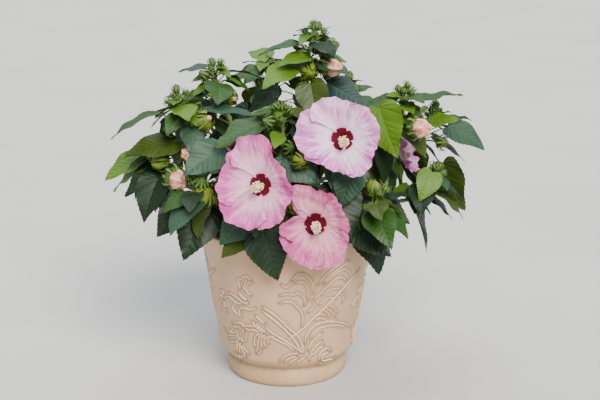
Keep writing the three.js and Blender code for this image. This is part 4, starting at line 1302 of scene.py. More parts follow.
def build_stalks():
    """The stalks of all leaves and buds, joined."""
    mesher = Mesher()
    for shoot in shoots:
        for number, leaf in enumerate(shoot.leaves):
            mesher.solid(leaf_stalk(leaf), int(number % RIPE_EVERY == 0))
        for bud in shoot.buds:
            mesher.solid(bud_stalk(bud))
    piece = mesher.make("stalks", plant_materials("fresh_stalk", "ripe_stalk"))
    finish_piece(piece, "cane", *foliage_nodes())


def cane_material():
    """Bark of a cane: tan and furrowed at the foot, smooth and green above."""
    skin = Skin("cane_bark")
    age = skin.attribute("age")
    grain = skin.noise(90, 5)
    place = skin.combine("ADD", age, skin.spread(grain, (-0.12, 0.12)))
    skin.give("Base Color", skin.ramp(place, *BARK_COLOURS))
    skin.give("Roughness", skin.spread(age, (0.8, 0.5), (0, 1)))
    skin.bump(grain, 0.9)
    return skin.material


def cane_skin(shoot, shares):
    """A cane's rings, swollen where leaves leave it and flared at its foot, with furrows low down."""
    points = np.array([shoot.curve.point(share) for share in shares])
    lengths = lengths_along(points)
    radii = cane_radius(shares) * (1 + FOOT_FLARE * np.exp(-lengths / FOOT_FLARE_LENGTH))
    for leaf in shoot.leaves:
        if leaf.length > YOUNG_LEAF:
            apart = lengths - np.interp(leaf.at, shares, lengths)
            radii *= 1 + NODE_SWELLING * np.exp(-((apart / NODE_WIDTH) ** 2))
    rings = tube(points, radii, CANE_SIDES)
    furrows = waves(FURROWS, even_angles(CANE_SIDES), lengths[:, None], shoot.row.seed)
    depth = FURROW_DEPTH * ramped(FURROW_FADE, shares)[:, None] * furrows
    return rings + (rings - points[:, None]) * depth[..., None]


def build_canes():
    """Each cane from its foot to its tip."""
    mesher = Mesher()
    for shoot in shoots:
        shares = np.linspace(0, 1, max(CANE_LEAST_RINGS, round(shoot.curve.length() / CANE_RING_STEP)))
        mesher.solid(cane_skin(shoot, shares), values={"age": shares[:, None]})
    piece = mesher.make("canes", [cane_material()])
    finish_piece(piece, "cane", *(f"bough_{number + 1:02d}" for number in range(len(shoots))))


# Bodies of buds and blooms
SIDE_START = np.array([0.3, -0.5, 0.8])
STRAP_POINTS = 7
STRAP_ENDS = (0.14, 0.97)
STRAP_CURVE = 0.7
STRAP_HOLLOW = 0.14
STRAP_THICKNESS = 0.25

# Leaflets round a bud: their number, their foot and reach along it, their belly and width, all in radii
# of the bud, and how unevenly they swell
Whorl = namedtuple("Whorl", "count foot reach belly width flare")
BRACTLETS = Whorl(10, -1.3, 2.4, 1.05, 0.34, 0.35)
CAGE = Whorl(9, -1.2, 2.75, 1.2, 0.42, 0.12)
SEPALS = Whorl(5, -0.9, 2.0, 0.90, 1.25, 0.08)
POD_SEPALS = Whorl(5, -1.0, 2.3, 0.92, 1.0, 0.15)
BLOOM_BRACTLETS = Whorl(10, -1.1, 1.7, 1.1, 0.3, 0.4)
WHORL_FOOT_RADIUS = 0.25
WHORL_ENDS = (0.06, 0.86)
LEAFLET_REACH = (0.85, 1.05)


def frame_of(direction):
    """Two directions square to one and to each other."""
    first = square_to(SIDE_START, direction)
    return first, np.cross(direction, first)


def out_at(sides, angle):
    """The direction at an angle round an axis, from the two square to it."""
    return sides[0] * math.cos(angle) + sides[1] * math.sin(angle)


def solid_of_rings(centre, direction, profile, sides, ribs=0, depth=0.0, twist=0.0):
    """A ribbed body of rings, from rows of height along its axis and radius."""
    first, second = frame_of(direction)
    angles = even_angles(sides)
    rings = []
    for height, radius in profile:
        bearing = angles + twist * height
        wide = radius * (1 + depth * np.cos(ribs * angles))
        aside = np.outer(wide * np.cos(bearing), first) + np.outer(wide * np.sin(bearing), second)
        rings.append(centre + direction * height + aside)
    return np.array(rings)


def add_strap(mesher, line, out, axis, width, slot):
    """A narrow leaflet along a line, thin and hollow towards its axis."""
    across = np.cross(axis, out)
    shares = np.linspace(0, 1, len(line))
    half = width * np.sin(math.pi * mix(STRAP_ENDS, shares)) ** STRAP_CURVE / 2
    points = line[:, None] + half[:, None, None] * np.array([-1.0, 0.0, 1.0])[:, None] * across
    points[:, 1] += STRAP_HOLLOW * width * out
    mesher.grid(points, slot)
    mesher.grid(points - STRAP_THICKNESS * out, slot, flip=True)


def add_whorl(mesher, centre, direction, radius, whorl, slot, draw):
    """A ring of leaflets that swell out round a bud and close over it."""
    shares = np.linspace(0, 1, STRAP_POINTS)
    for angle in even_angles(whorl.count):
        out = out_at(frame_of(direction), angle)
        belly = whorl.belly * (1 + whorl.flare * draw())
        outward = radius * (WHORL_FOOT_RADIUS + belly * np.sin(math.pi * mix(WHORL_ENDS, shares)))
        upward = radius * (whorl.foot + whorl.reach * mix(LEAFLET_REACH, draw()) * shares)
        line = centre + outward[:, None] * out + upward[:, None] * direction
        add_strap(mesher, line, out, direction, radius * whorl.width, slot)


# Buds, with profiles as rows of height and radius, both in radii of the bud
BUD_SLENDERNESS = 1.3
CLOSED_BUD = (
    (-1.0, 0.06), (-0.94, 0.38), (-0.75, 0.72), (-0.4, 0.96), (0, 1.0), (0.35, 0.86), (0.65, 0.58),
    (0.9, 0.26), (1.06, 0.08), (1.12, 0.01),
)
POD = (
    (-1.0, 0.06), (-0.92, 0.5), (-0.7, 0.85), (-0.3, 1.04), (0.1, 1.0), (0.45, 0.78), (0.7, 0.45),
    (0.85, 0.16), (0.98, 0.08), (1.02, 0.01),
)
CUP = ((-1.0, 0.06), (-0.94, 0.4), (-0.75, 0.74), (-0.45, 0.93), (-0.1, 0.96), (0.2, 0.86))
FURLED = (
    (-0.6, 0.3), (-0.3, 0.82), (0.05, 0.98), (0.4, 1.04), (0.72, 1.02), (0.98, 0.94), (1.18, 0.78),
    (1.3, 0.58), (1.36, 0.36), (1.3, 0.15), (1.24, 0.02),
)
CLOSED_SIDES = 15
OPEN_SIDES = 20
FURLED_SIDES = 70
CLOSED_RIBS = 0.07
POD_RIBS = 0.06
CUP_RIBS = 0.05
BUD_TWIST = 0.15
CAGED_BODY = 0.84
CUP_SIZE = 0.92
FURLED_SIZE = 1.02
ROLL_TURN = 2.4
ROLL_DEPTH = 0.15
ROLL_LEVEL = 0.4
ROLL_SWELLING = (0, 1.15)
CRUMPLE_DEPTH = 0.028
CRUMPLES = ((1, 13, 6, 1), (1, -4, 9, 2))
PEAK_HEIGHT = 0.22
WITHERED_PLACE = 0.8
WITHERED_SIZE = 0.32
BUD_SEED_TURN = 23
GREEN, PALE, POD_GREEN, PETAL_SLOT = range(4)


def bud_body(bud, size, profile, sides, depth=0.0, twist=0.0):
    rows = [(size * BUD_SLENDERNESS * height, size * wide) for height, wide in profile]
    return solid_of_rings(bud.centre, bud.direction, rows, sides, PETALS, depth, twist)


def add_furled_petals(mesher, bud, draw):
    """The rolled petals of an opening bud: five wound round each other, each edge on top of the next
    petal, blunt and crumpled at the end."""
    radius = bud.radius * FURLED_SIZE
    body = bud_body(bud, radius, FURLED, FURLED_SIDES)
    angles = even_angles(FURLED_SIDES)
    rows = np.linspace(0, 1, len(FURLED))[:, None]
    phase = 2 * math.pi * draw()
    across = (PETALS * angles + ROLL_TURN * rows + phase) / (2 * math.pi) % 1
    crumple = waves(CRUMPLES, angles, rows, phase)
    swelling = np.sin(math.pi * ramped(ROLL_SWELLING, rows)) ** 0.6
    depth = swelling * (ROLL_DEPTH * (across**1.6 - ROLL_LEVEL) + CRUMPLE_DEPTH * crumple)
    middle = body.mean(axis=1, keepdims=True)
    peak = PEAK_HEIGHT * radius * rows**3 * (np.sin(2 * angles + phase) + 0.4 * crumple)
    body = middle + (body - middle) * (1 + depth)[..., None] + peak[..., None] * bud.direction
    mesher.solid(body, PETAL_SLOT, values={"fold": 2 * across**3 - 1 + 0.2 * crumple})


def add_bud(mesher, bud, draw):
    """A bud's body by its kind, with its sepals where they show, and its bractlets."""
    place = (bud.centre, bud.direction, bud.radius)
    if bud.kind in ("pod", "spent"):
        mesher.solid(bud_body(bud, bud.radius, POD, OPEN_SIDES, POD_RIBS), POD_GREEN)
        add_whorl(mesher, *place, POD_SEPALS, POD_GREEN, draw)
        if bud.kind == "spent":
            tip = bud.centre + bud.direction * bud.radius * WITHERED_PLACE
            add_furled_petals(mesher, bud._replace(centre=tip, radius=bud.radius * WITHERED_SIZE), draw)
    elif bud.kind == "opening":
        mesher.solid(bud_body(bud, bud.radius * CUP_SIZE, CUP, OPEN_SIDES, CUP_RIBS), GREEN)
        add_furled_petals(mesher, bud, draw)
        add_whorl(mesher, *place, SEPALS, GREEN, draw)
    else:
        size = bud.radius * (CAGED_BODY if bud.kind == "caged" else 1)
        twist = BUD_TWIST / bud.radius
        mesher.solid(bud_body(bud, size, CLOSED_BUD, CLOSED_SIDES, CLOSED_RIBS, twist), GREEN)
    add_whorl(mesher, *place, CAGE if bud.kind == "caged" else BRACTLETS, PALE, draw)


def furled_material():
    """Rolled petals of an opening bud: deep pink in the pleats, peach on them and cream on their ridges."""
    skin = Skin("furled_petals")
    folds = skin.noise(160, 2)
    place = skin.combine("ADD", skin.attribute("fold"), skin.spread(folds, (-0.5, 0.5)))
    pink, peach, pale, cream = (0.52, 0.17, 0.12), (0.76, 0.40, 0.26), (0.84, 0.58, 0.39), (0.88, 0.74, 0.50)
    height = skin.spread(place, (0, 1), (-1.2, 1.1))
    skin.give("Base Color", skin.ramp(height, (0.0, pink), (0.4, peach), (0.8, pale), (1, cream)))
    skin.give("Roughness", 0.6)
    skin.bump(folds, 0.8)
    return skin.material


def build_buds():
    """All buds and pods with their bractlets, joined."""
    mesher = Mesher()
    for shoot in shoots:
        draw = seeded(shoot.row.seed + BUD_SEED_TURN)
        for bud in shoot.buds:
            add_bud(mesher, bud, draw)
    greens = plant_materials("bud_green", "bractlet_green", "pod_green")
    finish_piece(mesher.make("buds", greens + [furled_material()]), "bud", *foliage_nodes())


# Petals: their grids of points, their half spread in degrees, and their margin in shares of its reach
PETAL_GRID = (60, 64)
PLAIN_PETAL_GRID = (40, 44)
PETAL_REACH = 53
PETAL_WIDENING = (0.6, 1)
PETAL_FROM = 0.07
EDGE_REACH = 1.02
EDGE_LEAN = 0.03
SHOULDER = (0.16, 0.34)
SHOULDER_CURVE = 3.2
SCALLOPS = ((9, 0.018), (21, 0.013), (43, 0.005))
# Painted shade where a petal lies under its neighbour: how deep, and where it sets in across the petal
COVERED_EDGE_SHADE = 0.4
COVERED_RAMP = (0.2, 2.2)
UV_INSET = 0.02
NOTCH_CURVE = 26
NOTCH_DEPTH = 5

# Relief of petals in millimetres
PETAL_LAYER = 3.4
LAYER_RAMP = (0.12, 1.22)
PETAL_THICKNESS = 0.5
PETAL_THINNING = 0.9
PETAL_ARCH = 3
PETAL_SINK = 3
RUFFLES = ((5.2, 8, 0, 1), (3.4, 15, 2, 0))
PETAL_FOLDS = ((1, 37, 4, 1), (0.8, 58, -7, 2))
RIDGE_LEVEL = 0.6
CREASE_WIDTH = 0.3
CREASE_RAMP = (-0.5, 1.5)
CRINKLE = 1.05
CRINKLE_RAMP = (-0.3, 1.3)
CRIMP = ((0.9, 90, 9, 0),)
BUCKLE = ((1.1, 2.6, 19, 1),)

# A bloom's face: how far its eye lies right of and above its middle, the same for its column's end from
# its eye, the turn of its first petal, its reach from the eye to the margin every 30 degrees clockwise
# from the top, its colours from the eye to the margin, of its blush and of the painted shade in its creases,
# its deeper blush as rows of degrees clockwise, share of the way out and both spreads, how far it is
# crinkled, and its size. The blush colour also paints shade where a petal lies under its neighbour, and
# the deeper blush low on a bloom is partly the petals' own colour and partly painted shade
FIELDS = "shift lean first reaches eye body margin blush fold patches crinkle size"
BloomLook = namedtuple("BloomLook", FIELDS, defaults=(1.0,))
BLOOM_LOOKS = (
    BloomLook(
        (8, -2), (8, -4), -8, (77, 80, 79, 76, 74, 84, 68, 61, 81, 92, 94, 90),
        (0.120, 0.0, 0.014), (0.98, 0.79, 0.92), (0.90, 0.50, 0.78), (0.64, 0.09, 0.47), (0.46, 0.20, 0.36),
        ((350, 0.55, 22, 0.3), (46, 0.72, 18, 0.25), (112, 0.9, 44, 0.24), (205, 0.88, 62, 0.3),
         (262, 0.82, 40, 0.3)), 1.0,
    ),
    BloomLook(
        (6, -7), (0, 0), -6, (99, 70, 63, 76, 80, 86, 87, 93, 96, 82, 79, 100),
        (0.120, 0.0, 0.013), (0.91, 0.52, 0.66), (0.72, 0.19, 0.44), (0.62, 0.06, 0.36), (0.42, 0.12, 0.24),
        ((8, 0.85, 26, 0.25), (78, 0.85, 30, 0.25), (232, 0.78, 32, 0.24), (160, 0.9, 36, 0.24),
         (290, 0.9, 40, 0.16)), 1.15,
    ),
    BloomLook(
        (5, -1), (0, 0), 4, (70, 72, 60, 65, 76, 88, 92, 81, 80, 76, 40, 100),
        (0.120, 0.0, 0.012), (0.83, 0.41, 0.50), (0.66, 0.18, 0.34), (0.58, 0.06, 0.28), (0.38, 0.10, 0.17),
        ((210, 0.75, 34, 0.25), (20, 0.8, 40, 0.2), (265, 0.8, 40, 0.2), (110, 0.85, 30, 0.2)), 1.7,
    ),
)


def look_of(number, bloom):
    """A front bloom's own look, and for the others one of those at their own size."""
    look = BLOOM_LOOKS[number % len(BLOOM_LOOKS)]
    if number < len(BLOOM_LOOKS):
        return look
    size = bloom.radius / max(look.reaches)
    reaches = tuple(size * reach for reach in look.reaches)
    return look._replace(shift=(0, 0), lean=(0, 0), reaches=reaches, size=size)


def on_face(bloom, pair):
    """How far something lies from a bloom's middle that lies right of and above it by a pair of sizes."""
    return pair[0] * bloom.side + pair[1] * bloom.top


def margin_reach(look, angle):
    """How far a bloom's margin lies from its eye, at angles clockwise from its top."""
    around = np.degrees(angle) % 360
    places = np.arange(len(look.reaches) + 1) * 360 / len(look.reaches)
    return np.interp(around, places, (*look.reaches, look.reaches[0]))


def turn_apart(angle, at):
    """Degrees between angles and a given one."""
    return (np.degrees(angle) - at + 180) % 360 - 180


def petal_blush_and_shade(look, angle, reach, across, row):
    """How deep the blush is: in its patches, partly painted shade low on the bloom, and as painted shade
    where a petal lies under its neighbour.
    """
    patches = sum(
        np.exp(-((turn_apart(angle, at) / wide) ** 2) - ((reach - out) / deep) ** 2)
        for at, out, wide, deep in look.patches
    )
    return patches + COVERED_EDGE_SHADE * ramped(COVERED_RAMP, across) ** 2 * row


def petal_height(bloom, look, folds, row, across, share, angle, phase):
    """Relief of a petal along its bloom's axis: its cup and arch, its ruffled margin, its fine crinkles
    and its lie over one neighbour and under the other."""
    cup = BLOOM_DEPTH * (share**BLOOM_CURVE - 1) + PETAL_ARCH * np.cos(across * math.pi / 2) * row**2
    ruffle = row**4 * waves(RUFFLES, angle, 1, bloom.row.turn)
    crinkle = CRINKLE * (np.abs(folds) - RIDGE_LEVEL) * ramped(CRINKLE_RAMP, share) ** 1.2
    crimp = row**5 * waves(CRIMP, angle, share)
    buckle = row**1.4 * waves(BUCKLE, across, share, phase)
    layer = -PETAL_LAYER * across * ramped(LAYER_RAMP, row)
    return cup + ruffle + look.crinkle * (crinkle + crimp + buckle) + layer - PETAL_SINK


def add_petal(mesher, bloom, number, look, draw):
    """One broad petal of a bloom: a fan from the throat, crimped at its margin, with its left edge on
    top of its neighbour's right one."""
    rows, columns = PETAL_GRID if look.size == 1 else PLAIN_PETAL_GRID
    row = np.linspace(0, 1, rows)[:, None]
    across = np.linspace(-1, 1, columns)[None]
    share = mix((PETAL_FROM, 1), row)
    half = math.radians(PETAL_REACH) * mix(PETAL_WIDENING, row**0.6)
    first = math.radians(look.first)
    angle = first + number * 2 * math.pi / PETALS + half * across
    phase = 2 * math.pi * draw()
    lean = EDGE_LEAN * (draw() * 2 - 1) * across
    scallop = sum(deep * np.sin(across * turns + phase * turns) for turns, deep in SCALLOPS)
    edge = EDGE_REACH - mix(SHOULDER, draw()) * np.abs(across) ** SHOULDER_CURVE + lean + scallop
    reach = share * (1 - (1 - edge) * row**2)
    outward = reach * margin_reach(look, angle)
    folds = waves(PETAL_FOLDS, angle, share, phase)
    # Where the creases lie, which get painted shade
    crease = np.exp(-((folds / CREASE_WIDTH) ** 2)) * ramped(CREASE_RAMP, share) * look.crinkle
    height = petal_height(bloom, look, folds, row, across, share, angle, phase)
    flat = np.sin(angle)[..., None] * bloom.side + np.cos(angle)[..., None] * bloom.top
    eye = bloom.centre + on_face(bloom, look.shift)
    points = eye + outward[..., None] * flat + height[..., None] * bloom.facing
    thick = PETAL_THICKNESS * (1 - PETAL_THINNING * row**8) * np.ones_like(across)
    back = points - thick[..., None] * bloom.facing
    notch = np.abs(np.sin(PETALS / 2 * (angle - first))) ** NOTCH_CURVE
    values = {
        "out": outward / look.size + NOTCH_DEPTH * notch,
        "share": reach,
        "angle": angle,
        "flush": petal_blush_and_shade(look, angle, reach, across, row),
        "crease": crease,
        "petal": float(number),
    }
    cell = np.stack(np.broadcast_arrays((across + 1) / 2, row), axis=-1)
    for side, grid in enumerate((points, back)):
        origin = np.array([number / PETALS, side / 2])
        uvs = origin + mix((UV_INSET, 1 - UV_INSET), cell) * (1 / PETALS, 1 / 2)
        mesher.grid(grid, flip=side == 1, uvs=uvs, values=values)


# A petal's face: its eye in millimetres, how far the eye's margin strays and how far the halo round it
# reaches, and how far the noise is drawn out into streaks
EYE_RADIUS = 23
EYE_STRAY = 0.9
EYE_SOFTNESS = 0.6
HALO_REACH = 7
HALO_DEPTH = 0.42
STREAK_SCALES = {"angle": 9.0, "share": 1.6, "petal": 7.0}
BLUSH_AND_SHADE_MOST = 0.85
VEIN_BLUSH = 0.24
# How deep the painted shade in the creases is
PAINTED_CREASE_SHADE = 0.42


def petal_material(name, look):
    """A petal's face: a crisp dark eye, a pale body, a pinker margin, a blush that lies in streaks and is
    partly painted shade, and painted shade in its creases."""
    skin = Skin(name)
    fan = skin.node("CombineXYZ")
    for place, (value, scale) in enumerate(STREAK_SCALES.items()):
        skin.feed(fan.inputs[place], skin.combine("MULTIPLY", skin.attribute(value), scale))
    streaks, veins, fine = (
        skin.noise(scale, detail, fan.outputs["Vector"]) for scale, detail in ((1.6, 4), (4.2, 2), (7.5, 3))
    )
    place = skin.combine("ADD", skin.attribute("share"), skin.spread(streaks, (-0.09, 0.09)))
    face = skin.ramp(place, (0.0, look.body), (0.5, look.body), (0.98, look.margin))
    streaked = skin.spread(streaks, (0.25, 1.0), (0.40, 0.60))
    # How deep the blush is, with the painted shade along covered edges and low on the bloom
    blush = skin.combine("MINIMUM", skin.combine("MULTIPLY", skin.attribute("flush"), streaked), BLUSH_AND_SHADE_MOST)
    face = skin.mix(blush, face, look.blush)
    face = skin.mix(skin.spread(veins, (0.0, VEIN_BLUSH * look.crinkle), (0.52, 0.66)), face, look.blush)
    # Painted shade in the creases, a darker greyish pink
    face = skin.mix(skin.combine("MULTIPLY", skin.attribute("crease"), PAINTED_CREASE_SHADE), face, look.fold)
    edge = skin.combine("ADD", skin.attribute("out"), skin.spread(streaks, (-EYE_STRAY, EYE_STRAY)))
    halo = skin.spread(edge, (HALO_DEPTH, 0.0), (EYE_RADIUS - 0.5, EYE_RADIUS + HALO_REACH))
    eye = skin.spread(edge, (1.0, 0.0), (EYE_RADIUS - EYE_SOFTNESS, EYE_RADIUS + EYE_SOFTNESS))
    skin.give("Base Color", skin.mix(eye, skin.mix(halo, face, look.blush), look.eye))
    skin.give("Roughness", 0.6)
    skin.give("Specular IOR Level", 0.2)
    skin.give("Subsurface Weight", 0.1)
    skin.give("Subsurface Scale", 3 * MM)
    skin.bump(skin.combine("ADD", veins, fine), 0.7 * look.crinkle)
    return skin.material


# A bloom's column and calyx, with profiles as rows of height and radius
COLUMN_DROOP = 0.12
COLUMN_RADIUS = (4.2, 2.0)
COLUMN_RINGS = 14
COLUMN_FROM = -0.05
ANTHERS = 105
ANTHER_PLACES = (0.34, 0.96)
ANTHER_RISE = (0.2, 0.7)
FILAMENT = (6, 11.5)
FILAMENT_RADIUS = 0.4
GRAIN = ((-1.5, 0.7), (-0.4, 1.9), (0.8, 1.7), (1.5, 0.5))
STIGMA_TURN = 0.3
STIGMA_SPREAD = 0.8
STIGMA_STALK = (6.5, 0.7)
STIGMA = ((-1.2, 0.5), (-0.3, 1.9), (0.5, 1.7), (1.0, 0.4))
CALYX = ((-29, 2.6), (-26, 7), (-21, 11), (-14, 12), (-9, 10), (-6, 6), (-5, 1))
CALYX_SIDES = 30
CALYX_RIBS = 0.06
CALYX_WIDEST = (14, 12)
BLOOM_STALK_RINGS = 24
BLOOM_SEED = 31


def column_line(bloom, look):
    """The middle of a bloom's column, which droops a little and leans as its look says."""
    start = bloom.throat + on_face(bloom, look.shift)
    bent = COLUMN_LENGTH * (unit(bloom.facing - COLUMN_DROOP * UP) - bloom.facing) + on_face(bloom, look.lean)
    shares = np.linspace(COLUMN_FROM, 1, COLUMN_RINGS)[:, None]
    return start + (bloom.facing * COLUMN_LENGTH * shares + bent * shares**2) * look.size


def add_column(mesher, bloom, look, draw):
    """The cream column in the middle of a bloom, ringed with anthers, with five stigmas at its end."""
    line = column_line(bloom, look)
    mesher.solid(tube(line, np.linspace(*COLUMN_RADIUS, COLUMN_RINGS) * look.size, 10))
    sides = frame_of(bloom.facing)
    for number in range(ANTHERS):
        share = mix(ANTHER_PLACES, draw())
        out = out_at(sides, draw() * 2 * math.pi)
        direction = unit(out + bloom.facing * mix(ANTHER_RISE, share))
        root = mix((line[0], line[-1]), share)
        tip = root + direction * mix(FILAMENT, draw()) * look.size
        mesher.grid(tube(np.linspace(root, tip, 3), FILAMENT_RADIUS, 4), closed=True)
        mesher.solid(solid_of_rings(tip, direction, GRAIN, 6), 1)
    for angle in even_angles(PETALS) + STIGMA_TURN:
        reach, radius = STIGMA_STALK
        tip = line[-1] + unit(out_at(sides, angle) * STIGMA_SPREAD + bloom.facing) * reach * look.size
        mesher.grid(tube(np.linspace(line[-1], tip, 4), radius, 5), closed=True)
        mesher.solid(solid_of_rings(tip, bloom.facing, STIGMA, 8))


def add_calyx(mesher, bloom, draw):
    """A bloom's stalk from inside its cane, the cup behind its petals and the bractlets round that."""
    line = [bloom.stalk.point(share) for share in np.linspace(0, 1, BLOOM_STALK_RINGS)]
    line[0] = bloom.cane_point
    mesher.solid(tube(line, BLOOM_STALK_RADIUS, 10))
    mesher.solid(solid_of_rings(bloom.throat, bloom.facing, CALYX, CALYX_SIDES, PETALS, CALYX_RIBS))
    behind, radius = CALYX_WIDEST
    add_whorl(mesher, bloom.throat - bloom.facing * behind, bloom.facing, radius, BLOOM_BRACTLETS, 0, draw)


def build_blooms():
    """Each bloom as its petals, its column, and its green calyx on its stalk."""
    cream, pollen, green = plant_materials("column_cream", "pollen", "calyx_green")
    for number, bloom in enumerate(blooms):
        node = f"bloom_{number + 1}"
        look = look_of(number, bloom)
        draw = seeded(number + BLOOM_SEED)
        petals, column, calyx = Mesher(), Mesher(), Mesher()
        for petal in range(PETALS):
            add_petal(petals, bloom, petal, look, draw)
        add_column(column, bloom, look, draw)
        add_calyx(calyx, bloom, draw)
        face = petal_material(f"petal_{number + 1}", look)
        finish_piece(petals.make(f"petals_{number + 1}", [face], unwrapped=True), "petal", node)
        finish_piece(column.make(f"column_{number + 1}", [cream, pollen]), "column", node)
        finish_piece(calyx.make(f"calyx_{number + 1}", [green]), "stem", node)


# Pot
POT_SIDES = 420
POT_UNEVEN = 0.5
POT_WAVES = ((1, 3, 1 / 47, 0), (0.7, 7, -1 / 29, 0), (0.5, 13, 1 / 11, 0))
POT_DRAWN_IN = 0.4
UNDERSIDE_TOP = 3
UNDERSIDE_EDGE = 10
MOTIFS = 3
MOTIF_TURN = 120
RIDGE_STEP = 2.5
RIDGE_LEAST_STEPS = 6
RIDGE_SIDES = 8
RIDGE_TAPER = 8
RIDGE_END = 0.15
RELIEF_HEIGHT = 2.9
RELIEF_SINK = 1.0
# How far the brown beside a raised line reaches: partly the pot's own washed-in colour, partly painted shade
WASH_AND_SHADE_REACH = 4.6

# Rows of the pot's section as how far out, how high and how stained: the foot from its own radius, the
# groove and the flare above it from the groove, and the rim's outer and inner edge from the rim
UNDERSIDE_RADII = (0, 60)
FOOT_ROWS = (
    (-9, 0, 0.2), (-5, 1.5, 0.3), (-1.5, 5, 0.5), (0, 11, 0.35), (0.4, 20, 0.2), (0, 29, 0.25),
    (-1.5, 35, 0.6),
)
GROOVE_ROWS = ((0.6, -1, 1.0), (0, 1.5, 1.0))
FLARE_ROWS = ((2, 4, 0.9), (9, 9, 0.5), (17, 18, 0.25))
OUTER_RIM_ROWS = ((-0.6, -3, 0.1), (-2.2, -0.7, 0.2), (-4, 0, 0.2))
INNER_RIM_ROWS = ((3, 0, 0.2), (1, -1.5, 0.3), (0, -5, 0.5))
INSIDE_HEIGHTS = (315, 300, 280)
INSIDE_STAIN = 0.8
WALL_ROWS = 100
WALL_UNDER_RIM = 6

# Colours of the pot's body and its relief, pale and deep, and of what discolours both: the brown beside
# the raised lines, which is partly the pot's own washed-in colour and partly painted shade, stains and pits.
# The relief's paler colours are partly its own finish and partly a painted highlight on the raised lines
BODY_COLOURS = ((0.68, 0.43, 0.255), (0.57, 0.345, 0.2))
RELIEF_COLOURS = ((0.80, 0.57, 0.365), (0.72, 0.495, 0.31))
WASH_AND_SHADE_COLOUR = (0.15, 0.078, 0.04)
STAIN_COLOUR = (0.34, 0.25, 0.12)
PIT_COLOUR = (0.26, 0.19, 0.12)

